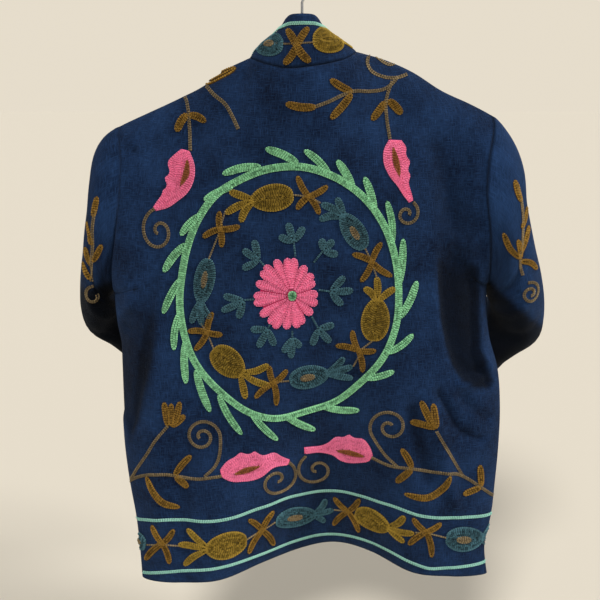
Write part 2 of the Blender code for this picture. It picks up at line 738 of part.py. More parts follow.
hanger = add_object("hanger_bar", *bar(), wood)
top = BAR_CENTRE_Z + BAR_HALF_HIGH
cutter = add_object("bore", *cylinder(BORE_RADIUS, top - STEM_IN_BAR - SEAM_GAP, top + 0.01), wood, cutters)
cutter.hide_render = True
cutter.display_type = "WIRE"
cut = hanger.modifiers.new("bore", "BOOLEAN")
cut.operation = "DIFFERENCE"
cut.solver = "EXACT"
cut.object = cutter
add_object("hanger_hook", *hook(), steel)
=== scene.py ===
import math

import bpy
import numpy as np
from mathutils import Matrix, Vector
from mathutils.bvhtree import BVHTree
from mathutils.geometry import barycentric_transform


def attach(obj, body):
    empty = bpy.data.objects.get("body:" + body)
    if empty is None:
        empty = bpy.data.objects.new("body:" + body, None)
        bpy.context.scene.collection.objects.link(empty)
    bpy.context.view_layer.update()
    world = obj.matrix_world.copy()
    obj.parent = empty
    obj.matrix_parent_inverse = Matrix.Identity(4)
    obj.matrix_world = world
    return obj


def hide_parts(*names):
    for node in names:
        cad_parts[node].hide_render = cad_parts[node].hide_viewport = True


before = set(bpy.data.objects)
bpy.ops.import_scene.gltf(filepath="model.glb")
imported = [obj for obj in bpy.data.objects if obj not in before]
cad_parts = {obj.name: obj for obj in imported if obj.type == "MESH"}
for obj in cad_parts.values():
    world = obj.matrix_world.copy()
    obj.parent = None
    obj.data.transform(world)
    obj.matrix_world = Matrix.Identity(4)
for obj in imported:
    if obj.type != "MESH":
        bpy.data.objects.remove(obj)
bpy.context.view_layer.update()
print("frame loaded")

# the jacket's own sizes, in metres, as it hangs
bodyForm = {
    "thickness": 0.0016,
    "underarm": 0.355,  # share of the way from shoulder to hem
    "tipHeight": {"left": -0.2015, "right": -0.1885},
    "hemHeight": {"left": -0.790, "right": -0.786},
    "hemRise": 0.013,
    "hemRiseAt": 0.16,
    "hemRiseWidth": 0.42,
    "frontHemRise": 0.006,
    "armholeBack": -0.045,
    "armholeFront": 0.050,
    "underarmDepth": 0.004,
    "hemSideDepth": -0.046,
    "sidePower": 1.2,
    "roundShare": 0.22,
    "ridgeShare": 0.070,
    "arch": 0.072,
    "archShare": 0.30,
    "neckAcross": {"left": -0.064, "right": 0.067},
    "neckBackDepth": -0.050,
    "neckFrontDepth": 0.058,
    "neckFrontDrop": 0.085,
    "neckPower": 1.6,
    "neckDropPower": 1.5,
    "neckDepthPower": 0.8,
    "openingTop": 0.004,
    "openingHem": 0.0125,
    # height, left edge, right edge
    "sides": (
        (-0.180, -0.2275, 0.2360), (-0.200, -0.2262, 0.2342), (-0.240, -0.2205, 0.2265),
        (-0.280, -0.2222, 0.2245), (-0.330, -0.2300, 0.2320), (-0.380, -0.2385, 0.2372),
        (-0.420, -0.2408, 0.2385), (-0.470, -0.2368, 0.2435), (-0.510, -0.2360, 0.2550),
        (-0.560, -0.2350, 0.2597), (-0.610, -0.2330, 0.2590), (-0.660, -0.2275, 0.2555),
        (-0.710, -0.2195, 0.2505), (-0.740, -0.2165, 0.2440), (-0.795, -0.2130, 0.2490),
    ),
    # across, height
    "ridge": {
        "left": ((-0.2262, -0.2015), (-0.1880, -0.1850), (-0.1500, -0.1680),
                 (-0.1190, -0.1525), (-0.0940, -0.1345), (-0.0640, -0.1205)),
        "right": ((0.0670, -0.1135), (0.1010, -0.1227), (0.1350, -0.1370),
                  (0.1700, -0.1585), (0.2070, -0.1750), (0.2352, -0.1885)),
    },
    "neckBack": ((-0.0640, -0.1205), (-0.0390, -0.1287), (-0.0194, -0.1326), (0.0046, -0.1314),
                 (0.0340, -0.1265), (0.0540, -0.1208), (0.0670, -0.1135)),
    # depth in millimetres: height share, then one column a station across
    "backStations": (-0.80, -0.55, -0.30, -0.10, 0.15, 0.35, 0.55, 0.80),
    "backDepths": (
        (0.00, -26, -28, -32, -52, -52, -32, -28, -26),
        (0.07, -31, -33, -40, -57, -57, -40, -33, -29),
        (0.16, -42, -46, -52, -61, -61, -52, -44, -32),
        (0.28, -52, -54, -60, -64, -63, -58, -50, -36),
        (0.40, -57, -54, -62, -64, -63, -60, -53, -40),
        (0.52, -60, -54, -61, -60, -59, -60, -55, -44),
        (0.64, -62, -58, -59, -51, -49, -56, -60, -50),
        (0.76, -64, -64, -53, -36, -33, -44, -62, -55),
        (0.88, -66, -66, -41, -17, -10, -27, -57, -59),
        (1.00, -67, -63, -21, 5, 16, -7, -50, -58),
    ),
    "frontStations": (0.20, 0.45, 0.72, 1.00),
    "frontDepths": (
        (0.00, 24, 26, 34, 58), (0.07, 28, 30, 38, 60), (0.16, 36, 42, 50, 62),
        (0.28, 42, 50, 56, 62), (0.40, 44, 52, 57, 61), (0.60, 46, 56, 60, 63),
        (0.80, 48, 62, 66, 68), (1.00, 50, 68, 74, 72),
    ),
    "cellSpread": (0.45, 0.55),  # share of even cells, share of cells that crowd at the sides
    "armCells": 44,
    "lowerCells": 84,
    "backCells": 144,
    "frontCells": 58,
}


def curve(xs, ys, x):
    xs, ys = np.asarray(xs, float), np.asarray(ys, float)
    x = np.clip(np.asarray(x, float), xs[0], xs[-1])
    steps = np.diff(xs)
    wide = (-1,) + (1,) * (ys.ndim - 1)
    rise = np.diff(ys, axis=0) / steps.reshape(wide)
    slope = np.empty_like(ys)
    slope[0], slope[-1] = rise[0], rise[-1]
    before, after = steps[:-1].reshape(wide), steps[1:].reshape(wide)
    slope[1:-1] = (rise[:-1] * after + rise[1:] * before) / (before + after)
    at = np.clip(np.searchsorted(xs, x, side="right") - 1, 0, len(xs) - 2)
    h = steps[at]
    t = (x - xs[at]) / h
    wide = t.shape + (1,) * (ys.ndim - 1)
    t, h = t.reshape(wide), h.reshape(wide)
    return (
        (2 * t**3 - 3 * t**2 + 1) * ys[at]
        + (t**3 - 2 * t**2 + t) * h * slope[at]
        + (3 * t**2 - 2 * t**3) * ys[at + 1]
        + (t**3 - t**2) * h * slope[at + 1]
    )


def runAlong(points):
    return np.concatenate(([0], np.cumsum(np.linalg.norm(np.diff(points, axis=0), axis=1))))


def columnOf(table, index):
    return [row[index] for row in table]


def heightShares():
    underarm = bodyForm["underarm"]
    turn = np.linspace(0, np.pi, bodyForm["armCells"] + 1)
    arm = underarm * (1 - np.cos(turn)) / 2
    lower = np.linspace(underarm, 1, bodyForm["lowerCells"] + 1)[1:]
    return np.concatenate((arm, lower))


def sideEdge(down, side, face):
    tip, hem = bodyForm["tipHeight"][side], bodyForm["hemHeight"][side]
    z = tip + (hem - tip) * down
    heights = [-h for h in columnOf(bodyForm["sides"], 0)]
    x = curve(heights, columnOf(bodyForm["sides"], 1 if side == "left" else 2), -z)
    underarm = bodyForm["underarm"]
    turn = np.arccos(np.clip(1 - 2 * down / underarm, -1, 1))
    deep = bodyForm["armholeBack" if face == "back" else "armholeFront"]
    start, end = bodyForm["underarmDepth"], bodyForm["hemSideDepth"]
    upper = start * down / underarm + deep * np.sin(turn)
    below = np.clip((down - underarm) / (1 - underarm), 0, 1)
    lower = start + (end - start) * below ** bodyForm["sidePower"]
    return x, np.where(down < underarm - 1e-9, upper, lower), z


def tipAcross(side):
    return float(sideEdge(np.zeros(1), side, "back")[0][0])


def topEdge(x, face):
    x = np.asarray(x, float)
    y, z = np.zeros_like(x), np.empty_like(x)
    neck = bodyForm["neckAcross"]
    for side in ("left", "right"):
        table = bodyForm["ridge"][side]
        out = x <= neck["left"] if side == "left" else x >= neck["right"]
        z[out] = curve(columnOf(table, 0), columnOf(table, 1), x[out])
    inside = (x > neck["left"]) & (x < neck["right"])
    if face == "back":
        table = bodyForm["neckBack"]
        z[inside] = curve(columnOf(table, 0), columnOf(table, 1), x[inside])
        middle, half = (neck["left"] + neck["right"]) / 2, (neck["right"] - neck["left"]) / 2
        dip = np.sqrt(np.clip(1 - ((x[inside] - middle) / half) ** 2, 0, 1))
        y[inside] = bodyForm["neckBackDepth"] * dip
        return y, z
    for side, sign in (("left", -1), ("right", 1)):
        mine = inside & (x * sign > 0)
        start, end = neck[side], sign * bodyForm["openingTop"]
        share = np.clip((x[mine] - end) / (start - end), 0, 1)
        angle = np.pi / 2 * (1 - share) ** (1 / bodyForm["neckPower"])
        ridge = float(topEdge(np.array([start]), "back")[1][0])
        z[mine] = ridge - bodyForm["neckFrontDrop"] * np.sin(angle) ** bodyForm["neckDropPower"]
        y[mine] = bodyForm["neckFrontDepth"] * np.sin(angle) ** bodyForm["neckDepthPower"]
    return y, z


def overRidge(down):
    t = np.clip(down / bodyForm["ridgeShare"], 0, 1)
    return np.sqrt(1 - (1 - t) ** 2)


def tableDepth(stations, table, at, down):
    rows = np.array([row[1:] for row in table], float) / 1000
    byHeight = curve(columnOf(table, 0), rows, down)
    return np.array([curve(stations, line, at) for line in byHeight])


def backGrid():
    left, right = tipAcross("left"), tipAcross("right")
    even = np.linspace(-1, 1, bodyForm["backCells"] + 1)
    evenShare, crowdedShare = bodyForm["cellSpread"]
    place = evenShare * even + crowdedShare * np.sin(even * np.pi / 2)
    for side in ("left", "right"):
        corner = (bodyForm["neckAcross"][side] - (left + right) / 2) / ((right - left) / 2)
        place[np.argmin(np.abs(place - corner))] = corner
    xs = (left + right) / 2 + place * (right - left) / 2
    drop = heightShares()
    topY, topZ = topEdge(xs, "back")
    leftX, leftY, leftZ = sideEdge(drop, "left", "back")
    rightX, rightY, rightZ = sideEdge(drop, "right", "back")
    share = (place + 1) / 2
    across = leftX[:, None] + (rightX - leftX)[:, None] * share[None, :]
    hemLeft, hemRight = bodyForm["hemHeight"]["left"], bodyForm["hemHeight"]["right"]
    hem = hemLeft + (hemRight - hemLeft) * share
    swell = np.exp(-((place - bodyForm["hemRiseAt"]) / bodyForm["hemRiseWidth"]) ** 2)
    hem = hem + bodyForm["hemRise"] * swell * (1 - place**2)
    arch = np.interp(place, (-1, 1), (bodyForm["tipHeight"]["left"], bodyForm["tipHeight"]["right"]))
    arch = arch + bodyForm["arch"] * (1 - place**2)
    near = np.clip(1 - drop / bodyForm["archShare"], 0, 1) ** 2
    top = arch[None, :] + (topZ - arch)[None, :] * near[:, None]
    heights = top + (hem[None, :] - top) * drop[:, None]
    inner = tableDepth(bodyForm["backStations"], bodyForm["backDepths"], place, drop)
    edge = np.where(place[None, :] < 0, leftY[:, None], rightY[:, None])
    t = np.clip((np.abs(place) - (1 - bodyForm["roundShare"])) / bodyForm["roundShare"], 0, 1)
    deep = edge + (inner - edge) * np.sqrt(1 - t**2)[None, :]
    deep = topY[None, :] + (deep - topY[None, :]) * overRidge(drop)[:, None]
    grid = np.stack((across, deep, heights), -1)
    grid[:, 0] = np.stack((leftX, leftY, leftZ), -1)
    grid[:, -1] = np.stack((rightX, rightY, rightZ), -1)
    neck = [int(np.argmin(np.abs(xs - bodyForm["neckAcross"][side]))) for side in ("left", "right")]
    return grid, neck


def frontGrid(side):
    sign = -1 if side == "left" else 1
    drop = heightShares()
    edgeX, edgeY, edgeZ = sideEdge(drop, side, "front")
    neck, end = bodyForm["neckAcross"][side], sign * bodyForm["openingTop"]
    neckCells = bodyForm["frontCells"] // 4
    t = np.linspace(0, 1, bodyForm["frontCells"] - neckCells + 1)
    shoulder = edgeX[0] + (neck - edgeX[0]) * (0.5 * t + 0.5 * t**2)
    angles = np.linspace(0, 1, neckCells + 1)[1:]
    xs = np.concatenate((shoulder, end + (neck - end) * (1 - angles ** bodyForm["neckPower"])))
    share = (xs - edgeX[0]) / (end - edgeX[0])
    topY, topZ = topEdge(xs, "front")
    ridge = float(topEdge(np.array([neck]), "back")[1][0])
    topY[-1], topZ[-1] = bodyForm["neckFrontDepth"], ridge - bodyForm["neckFrontDrop"]
    middle = sign * (bodyForm["openingTop"] + (bodyForm["openingHem"] - bodyForm["openingTop"]) * drop)
    across = edgeX[:, None] + (middle - edgeX)[:, None] * share[None, :]
    hem = bodyForm["hemHeight"][side] + bodyForm["frontHemRise"] * share
    heights = topZ[None, :] + (hem - topZ)[None, :] * drop[:, None]
    inner = tableDepth(bodyForm["frontStations"], bodyForm["frontDepths"], share, drop)
    turn = np.clip(share / (2 * bodyForm["roundShare"]), 0, 1)
    deep = edgeY[:, None] + (inner - edgeY[:, None]) * np.sqrt(1 - (1 - turn) ** 2)[None, :]
    deep = topY[None, :] + (deep - topY[None, :]) * overRidge(drop)[:, None]
    grid = np.stack((across, deep, heights), -1)
    grid[:, 0] = np.stack((edgeX, edgeY, edgeZ), -1)
    return grid, len(shoulder) - 1


sleeveForm = {
    # centre x, y, z, turn from upright to level, bend at the elbow, half thickness, half depth
    "left": (
        (-0.2450, 0.005, -0.3130, 1, 0, 0.0970, 0.050), (-0.2530, 0.008, -0.3235, 4, 0, 0.0880, 0.054),
        (-0.2570, 0.012, -0.3385, 6, 0, 0.0755, 0.058), (-0.2600, 0.017, -0.3550, 9, 0, 0.0615, 0.061),
        (-0.2632, 0.022, -0.3705, 14, 1, 0.0490, 0.062), (-0.2652, 0.027, -0.3870, 22, 3, 0.0380, 0.063),
        (-0.2672, 0.034, -0.4030, 37, 7, 0.0300, 0.063), (-0.2690, 0.044, -0.4190, 57, 15, 0.0262, 0.062),
        (-0.2725, 0.057, -0.4355, 77, 27, 0.0260, 0.060), (-0.2740, 0.074, -0.4500, 88, 39, 0.0260, 0.056),
        (-0.2600, 0.094, -0.4650, 90, 47, 0.0250, 0.056),
    ),
    "right": (
        (0.2458, 0.005, -0.3020, 3, 0, 0.0985, 0.050), (0.2545, 0.008, -0.3140, 8, 0, 0.0885, 0.055),
        (0.2605, 0.012, -0.3290, 13, 0, 0.0770, 0.059), (0.2632, 0.017, -0.3480, 19, 0, 0.0620, 0.062),
        (0.2675, 0.022, -0.3655, 28, 1, 0.0505, 0.063), (0.2725, 0.027, -0.3845, 42, 3, 0.0415, 0.064),
        (0.2785, 0.034, -0.4035, 60, 7, 0.0375, 0.065), (0.2850, 0.044, -0.4230, 78, 15, 0.0370, 0.065),
        (0.2920, 0.057, -0.4430, 88, 27, 0.0375, 0.063), (0.2960, 0.074, -0.4600, 90, 39, 0.0380, 0.059),
        (0.2860, 0.094, -0.4770, 90, 47, 0.0345, 0.059),
    ),
    "forearmLength": 0.245,
    "forearmRings": 8,
    "forearmBend": 49.0,
    "forearmInward": 0.64,
    "cuffHalf": (0.024, 0.055),
    "ringsPerStep": 4,
    "bendPace": 3,
    "holeShares": (1.0, 0.5, 0.2),  # how far the first rings keep the armhole's own shape
}


def turned(vector, axis, degrees):
    angle = math.radians(degrees)
    axis = axis / np.linalg.norm(axis)
    return (
        vector * math.cos(angle)
        + np.cross(axis, vector) * math.sin(angle)
        + axis * np.dot(axis, vector) * (1 - math.cos(angle))
    )


def sleeveGrid(side):
    out = -1 if side == "left" else 1
    cells = bodyForm["armCells"]
    angle = np.pi * np.arange(2 * cells) / cells
    down = bodyForm["underarm"] * (1 - np.cos(angle)) / 2
    onBack = np.stack(sideEdge(down, side, "back"), -1)
    onFront = np.stack(sideEdge(down, side, "front"), -1)
    hole = np.where((angle <= np.pi + 1e-9)[:, None], onBack, onFront)
    hole[cells] = np.stack(sideEdge(np.array([bodyForm["underarm"]]), side, "back"), -1)[0]
    inward = sleeveForm["forearmInward"]
    heading = np.array([-out * inward, math.sqrt(1 - inward**2), 0.0])
    axis = np.cross(np.array([0.0, 0.0, -1.0]), heading)
    rings = [list(row) for row in sleeveForm[side]]
    last = rings[-1]
    path = turned(np.array([0.0, 0.0, -1.0]), axis, sleeveForm["forearmBend"])
    for k in range(1, sleeveForm["forearmRings"] + 1):
        t = k / sleeveForm["forearmRings"]
        place = np.array(last[:3]) + path * sleeveForm["forearmLength"] * t
        bend = last[4] + (sleeveForm["forearmBend"] - last[4]) * min(1.0, sleeveForm["bendPace"] * t)
        thick, deep = (last[5 + i] + (sleeveForm["cuffHalf"][i] - last[5 + i]) * t for i in (0, 1))
        rings.append([*place, 90.0, bend, thick, deep])
    centre = (hole[0] + hole[cells]) / 2
    centres, longs, deeps = [centre], [hole[0] - centre], [np.array([0.0, bodyForm["armholeBack"], 0.0])]
    for x, y, z, tilt, bend, thick, deep in rings:
        tilt = math.radians(tilt)
        centres.append(np.array([x, y, z]))
        longs.append(turned(np.array([out * math.sin(tilt), 0.0, math.cos(tilt)]), axis, bend) * thick)
        deeps.append(turned(np.array([0.0, -1.0, 0.0]), axis, bend) * deep)
    rest = hole - centre - np.cos(angle)[:, None] * longs[0] - np.sin(angle)[:, None] * deeps[0]
    levels = np.arange(len(centres))
    kept = sleeveForm["holeShares"]
    shares = np.array([*kept] + [0.0] * (len(centres) - len(kept)))
    fine = np.linspace(0, levels[-1], levels[-1] * sleeveForm["ringsPerStep"] + 1)
    centres, longs, deeps = (curve(levels, np.array(a), fine)[:, None, :] for a in (centres, longs, deeps))
    share = np.interp(fine, levels, shares)[:, None, None]
    return (centres + np.cos(angle)[None, :, None] * longs + np.sin(angle)[None, :, None] * deeps
            + rest[None] * share)


collarForm = {
    # top edge from the back's middle to the end: across, depth, height
    "topEdge": (
        (0.0000, -0.0380, -0.0715), (0.0120, -0.0350, -0.0722), (0.0190, -0.0230, -0.0765),
        (0.0225, -0.0040, -0.0830), (0.0260, 0.0200, -0.0930), (0.0275, 0.0460, -0.1090),
        (0.0210, 0.0660, -0.1300), (0.0120, 0.0760, -0.1510),
    ),
    "rows": 16,
    "swell": 0.0035,
    "centreDepth": 0.02,
}


def collarGrid(back, backNeck, left, leftNeck, right, rightNeck):
    neckLeft = left[0, leftNeck:][::-1]
    neckBack = back[0, backNeck[0]:backNeck[1] + 1]
    base = np.concatenate((neckLeft[:-1], neckBack, right[0, rightNeck:][1:]))
    run = runAlong(base)
    span = slice(len(neckLeft) - 1, len(neckLeft) - 1 + len(neckBack))
    middle = np.interp(0.0, base[span, 0], run[span])
    half = np.array(collarForm["topEdge"])
    reach = runAlong(half)
    share = np.where(run > middle, (run - middle) / (run[-1] - middle), (middle - run) / middle)
    top = curve(reach / reach[-1], half, share)
    top[:, 0] *= np.where(run > middle, 1, -1)
    t = np.linspace(0, 1, collarForm["rows"] + 1)[:, None, None]
    lift = base[None] + (top - base)[None] * t
    outward = lift - np.array([0.0, collarForm["centreDepth"], 0.0])
    outward[..., 2] = 0
    outward /= np.linalg.norm(outward, axis=2)[..., None]
    return lift + outward * collarForm["swell"] * np.sin(np.pi * t), run - middle


# panels: a grid of points, its normals, its paper (millimetres on the cloth) and its seams
def gridNormals(grid, closed):
    if closed:
        across = np.roll(grid, -1, axis=1) - np.roll(grid, 1, axis=1)
    else:
        across = np.gradient(grid, axis=1)
    normal = np.cross(across, np.gradient(grid, axis=0))
    return normal / np.maximum(np.linalg.norm(normal, axis=2), 1e-12)[..., None]


def runDown(grid):
    steps = np.linalg.norm(np.diff(grid, axis=0), axis=2)
    return np.concatenate((np.zeros((1, grid.shape[1])), np.cumsum(steps, axis=0)))


def runAcross(grid):
    steps = np.linalg.norm(np.diff(grid, axis=1), axis=2)
    return np.concatenate((np.zeros((grid.shape[0], 1)), np.cumsum(steps, axis=1)), axis=1)


def makePanel(name, grid, facing, closed, seamEdges, paper, view):
    normals = gridNormals(grid, closed)
    r, c = grid.shape[0] // 2, grid.shape[1] // 2
    if np.dot(normals[r, c], facing(grid[r, c])) < 0:
        normals = -normals
    flip = np.dot(np.cross(grid[r, c + 1] - grid[r, c], grid[r + 1, c] - grid[r, c]), normals[r, c]) < 0
    panel = {"name": name, "grid": grid, "normals": normals, "closed": closed, "flip": flip,
             "seamEdges": seamEdges, "paper": paper, "view": view}
    down, across = runDown(grid), runAcross(grid)
    panel["fromEdge"] = {"top": down, "bottom": down[-1:] - down}
    if not closed:
        panel["fromEdge"].update(left=across, right=across[:, -1:] - across)
    return panel


def edgeMask(panel):
    rows, cols = panel["grid"].shape[:2]
    mask = np.zeros((rows, cols), bool)
    for edge, first, last in panel["seamEdges"]:
        if edge == "top":
            mask[0, first:last + 1] = True
        else:
            mask[first:last + 1, 0 if edge == "left" else cols - 1] = True
    return mask


def joinNormals(panels, reach=0.003):
    masks = [edgeMask(p) for p in panels]
    places = [p["grid"][m] for p, m in zip(panels, masks)]
    facings = [p["normals"][m] for p, m in zip(panels, masks)]
    for i, panel in enumerate(panels):
        total = facings[i].copy()
        for j in range(len(panels)):
            if j == i:
                continue
            apart = np.linalg.norm(places[i][:, None] - places[j][None], axis=2)
            nearest = apart.argmin(axis=1)
            near = apart.min(axis=1) < reach
            total[near] += facings[j][nearest[near]]
        panel["normals"][masks[i]] = total / np.linalg.norm(total, axis=1)[:, None]


back, backNeck = backGrid()
left, leftNeck = frontGrid("left")
right, rightNeck = frontGrid("right")
sleeveLeft, sleeveRight = sleeveGrid("left"), sleeveGrid("right")
collar, collarRun = collarGrid(back, backNeck, left, leftNeck, right, rightNeck)
hemRow = back.shape[0] - 1


def bodyPaper(grid, start):
    across = runAcross(grid)
    return np.stack((across - across[:, start:start + 1], grid[..., 2]), -1) * 1000


def tubePaper(grid):
    girth = np.linalg.norm(np.diff(grid, axis=1, append=grid[:, :1]), axis=2)
    girth = np.concatenate((np.zeros((grid.shape[0], 1)), np.cumsum(girth, axis=1)[:, :-1]), axis=1)
    down = np.repeat(runDown(grid).mean(axis=1)[:, None], grid.shape[1], axis=1)
    return np.stack((girth, -down), -1) * 1000


def fromFront(grid):
    return grid[..., [0, 2, 1]]


def fromBehind(grid):
    return fromFront(grid) * (1, 1, -1)


collarHigh = runDown(collar)
collarPaper = np.stack((np.broadcast_to(collarRun, collarHigh.shape), collarHigh), -1) * 1000


def hungPanel(name, grid, depth, paper, view, sides):
    # an open panel faces the way its depth points, and is sewn on at its top and at the sides named
    edges = [("top", 0, grid.shape[1] - 1)] + [(side, 0, hemRow) for side in sides]
    return makePanel(name, grid, lambda p: np.array([0, depth, 0]), False, edges, paper, view)


def tubePanel(name, grid):
    middle = grid[len(grid) // 2].mean(axis=0)
    edges = [("top", 0, grid.shape[1] - 1)]
    return makePanel(name, grid, lambda p: p - middle, True, edges, tubePaper(grid), fromBehind)


panels = {
    "back": hungPanel("back", back, -1.0, bodyPaper(back, back.shape[1] // 2), fromBehind, ("left", "right")),
    "frontLeft": hungPanel("frontLeft", left, 1.0, bodyPaper(left, 0), fromFront, ("left",)),
    "frontRight": hungPanel("frontRight", right, 1.0, bodyPaper(right, 0), fromFront, ("left",)),
    "sleeveLeft": tubePanel("sleeveLeft", sleeveLeft),
    "sleeveRight": tubePanel("sleeveRight", sleeveRight),
    "collar": hungPanel("collar", collar, -1.0, collarPaper, None, ()),
}
joinNormals(list(panels.values()))
print("panels worked out")

# folds of the cloth: points across and up in millimetres, half width, height (troughs are negative), and the
# share of the length that fades at each end, where it isn't the usual one
folds = {
    "seamDitch": (3.4, 1.5),  # half width, depth
    "collarDitch": 0.6,  # share of that depth at the collar
    "seamFade": 16,  # millimetres from a seam over which the folds come in
    "sleeveShare": 1.4,
    "back": (
        # right side, round the hollow below the armhole: a ridge beside it and wrinkles under it
        (((158, -330), (164, -400), (171, -455), (183, -520)), 8, 2.6),
        (((146, -196), (166, -232), (177, -278), (182, -336)), 15, -4.6),
        (((174, -338), (200, -344), (221, -354)), 6, 4.2, 0.2),
        (((192, -517), (214, -525), (240, -515)), 5, 5.0, 0.2),
        (((204, -503), (224, -509), (242, -503)), 5, -3.4, 0.2),
        (((219, -480), (233, -496), (247, -512)), 5, 3.6, 0.2),
        (((165, -521), (176, -536), (188, -558), (200, -580), (218, -592), (244, -600)), 5.5, -6.5, 0.15),
        (((160, -552), (174, -576), (190, -600), (210, -612), (236, -616)), 7, 2.6),
        (((195, -528), (209, -546), (228, -562), (250, -576)), 6, -4.4, 0.2),
        (((155, -529), (167, -566), (177, -600), (186, -634), (198, -676), (210, -706)), 8, 6.5, 0.2),
        (((132, -520), (144, -570), (156, -620), (172, -674)), 13, -7.0),
        (((206, -222), (212, -270), (214, -318)), 8, 2.0),
        # left side
        (((-156, -370), (-162, -430), (-176, -500), (-190, -566)), 9, 2.8),
        (((-222, -380), (-216, -412), (-210, -438)), 10, 3.0),
        (((-230, -452), (-216, -454), (-198, -449)), 4, -3.6, 0.2),
        (((-222, -226), (-212, -229), (-198, -228)), 4.5, -4.4, 0.2),
        (((-206, -206), (-190, -222), (-166, -230)), 8, -1.8),
        (((-176, -600), (-186, -660), (-184, -740)), 12, 3.2),
        (((-140, -560), (-150, -650), (-150, -770)), 13, -3.4),
        # pulls from the shoulders and the neck
        (((-150, -176), (-120, -230), (-96, -300)), 13, -2.6),
        (((112, -150), (120, -210), (138, -280)), 13, -2.6),
        (((-52, -140), (-62, -190), (-86, -240)), 10, 2.0),
        (((60, -140), (74, -190), (96, -250)), 10, 2.0),
        (((-20, -160), (-34, -210), (-60, -250)), 12, -1.6),
        # lower middle
        (((-62, -560), (-50, -650), (-44, -780)), 18, 3.8),
        (((26, -570), (24, -670), (18, -776)), 20, -4.0),
        (((92, -590), (104, -680), (110, -780)), 15, 3.2),
    ),
    "frontLeft": (
        (((-150, -240), (-146, -360), (-120, -470)), 15, -5.0),
        (((-190, -330), (-186, -450), (-176, -560)), 12, 4.0),
        (((-84, -430), (-76, -580), (-70, -780)), 18, -4.4),
        (((-130, -560), (-134, -680), (-128, -786)), 15, 4.2),
        (((-110, -170), (-96, -230), (-70, -300)), 11, 2.6),
    ),
    "frontRight": (
        (((152, -230), (150, -350), (128, -460)), 15, -5.0),
        (((196, -330), (200, -450), (192, -560)), 12, 4.0),
        (((70, -420), (78, -580), (88, -780)), 18, 4.2),
        (((140, -540), (146, -680), (150, -780)), 15, -4.4),
        (((104, -150), (96, -220), (74, -290)), 11, 2.6),
    ),
}


# hollows where the cloth turns in, with painted shade laid into them: corners across and up, how deep, how
# wide the slope, how dark the painted shade is, how soft its border, and between which heights the hollow
# comes in from above
hollows = {
    "back": (
        (((165, -338), (166, -365), (168, -400), (172, -438), (180, -471), (189, -498), (202, -518),
          (219, -529), (241, -533), (248, -524), (237, -502), (229, -478), (228, -444), (226, -405),
          (221, -374), (204, -362), (186, -348)), 9.0, 13, 0.92, 6, (-334, -392)),
        (((158, -215), (176, -222), (204, -300), (222, -356), (204, -385), (170, -385), (166, -320)),
         2.0, 30, 0.5, 34, (-210, -300)),
        (((-170, -372), (-178, -411), (-181, -461), (-190, -500), (-201, -540), (-210, -575), (-221, -594),
          (-240, -560), (-240, -480), (-233, -440), (-204, -410), (-186, -385)),
         6.0, 14, 0.6, 6, (-330, -500)),
        (((-174, -395), (-180, -440), (-187, -492), (-199, -538), (-208, -573), (-220, -592), (-224, -556),
          (-214, -500), (-200, -440)), 1.5, 12, 0.84, 12, (-370, -480)),
    ),
}


def smooth(t):
    t = np.clip(t, 0, 1)
    return t * t * (3 - 2 * t)


def fieldInside(spots, corners):
    # distance to the field's border, positive within it
    corners = np.asarray(corners, float)
    best = np.full(spots.shape[:-1], 1e9)
    within = np.zeros(spots.shape[:-1], bool)
    for start, end in zip(corners, np.roll(corners, -1, axis=0)):
        step = end - start
        t = np.clip(((spots - start) @ step) / (step @ step), 0, 1)
        best = np.minimum(best, np.linalg.norm(spots - start - t[..., None] * step, axis=-1))
        crosses = (start[1] > spots[..., 1]) != (end[1] > spots[..., 1])
        rise = step[1] if abs(step[1]) > 1e-9 else 1e-9
        within ^= crosses & (spots[..., 0] < start[0] + (spots[..., 1] - start[1]) * step[0] / rise)
    return np.where(within, best, -best)


def foldHeight(spots, points, halfWidth, height, fade=0.28):
    line = smoothLine(points, step=12.0)
    ends = np.diff(line, axis=0)
    lengths = np.linalg.norm(ends, axis=1)
    before = runAlong(line)[:-1]
    best = np.full(spots.shape[:-1], 1e9)
    place = np.zeros(spots.shape[:-1])
    for start, step, length, run in zip(line, ends, lengths, before):
        t = np.clip(((spots - start) @ step) / length**2, 0, 1)
        apart = np.linalg.norm(spots - start - t[..., None] * step, axis=-1)
        nearer = apart < best
        best = np.where(nearer, apart, best)
        place = np.where(nearer, run + t * length, place)
    along = place / lengths.sum()
    return height * np.exp(-(best / halfWidth) ** 2) * smooth(along / fade) * smooth((1 - along) / fade)


def smoothLine(points, step):
    points = np.asarray(points, float)
    if len(points) == 2:
        run = np.linalg.norm(points[1] - points[0])
        count = max(2, int(round(run / step)) + 1)
        return points[0] + (points[1] - points[0]) * np.linspace(0, 1, count)[:, None]
    knots = runAlong(points)
    dense = curve(knots, points, np.linspace(0, knots[-1], 20 * len(points)))
    return evenly(dense, step)


def evenly(points, step):
    run = runAlong(points)
    count = max(2, int(round(run[-1] / step)) + 1)
    at = np.linspace(0, run[-1], count)
    return np.stack((np.interp(at, run, points[:, 0]), np.interp(at, run, points[:, 1])), -1)


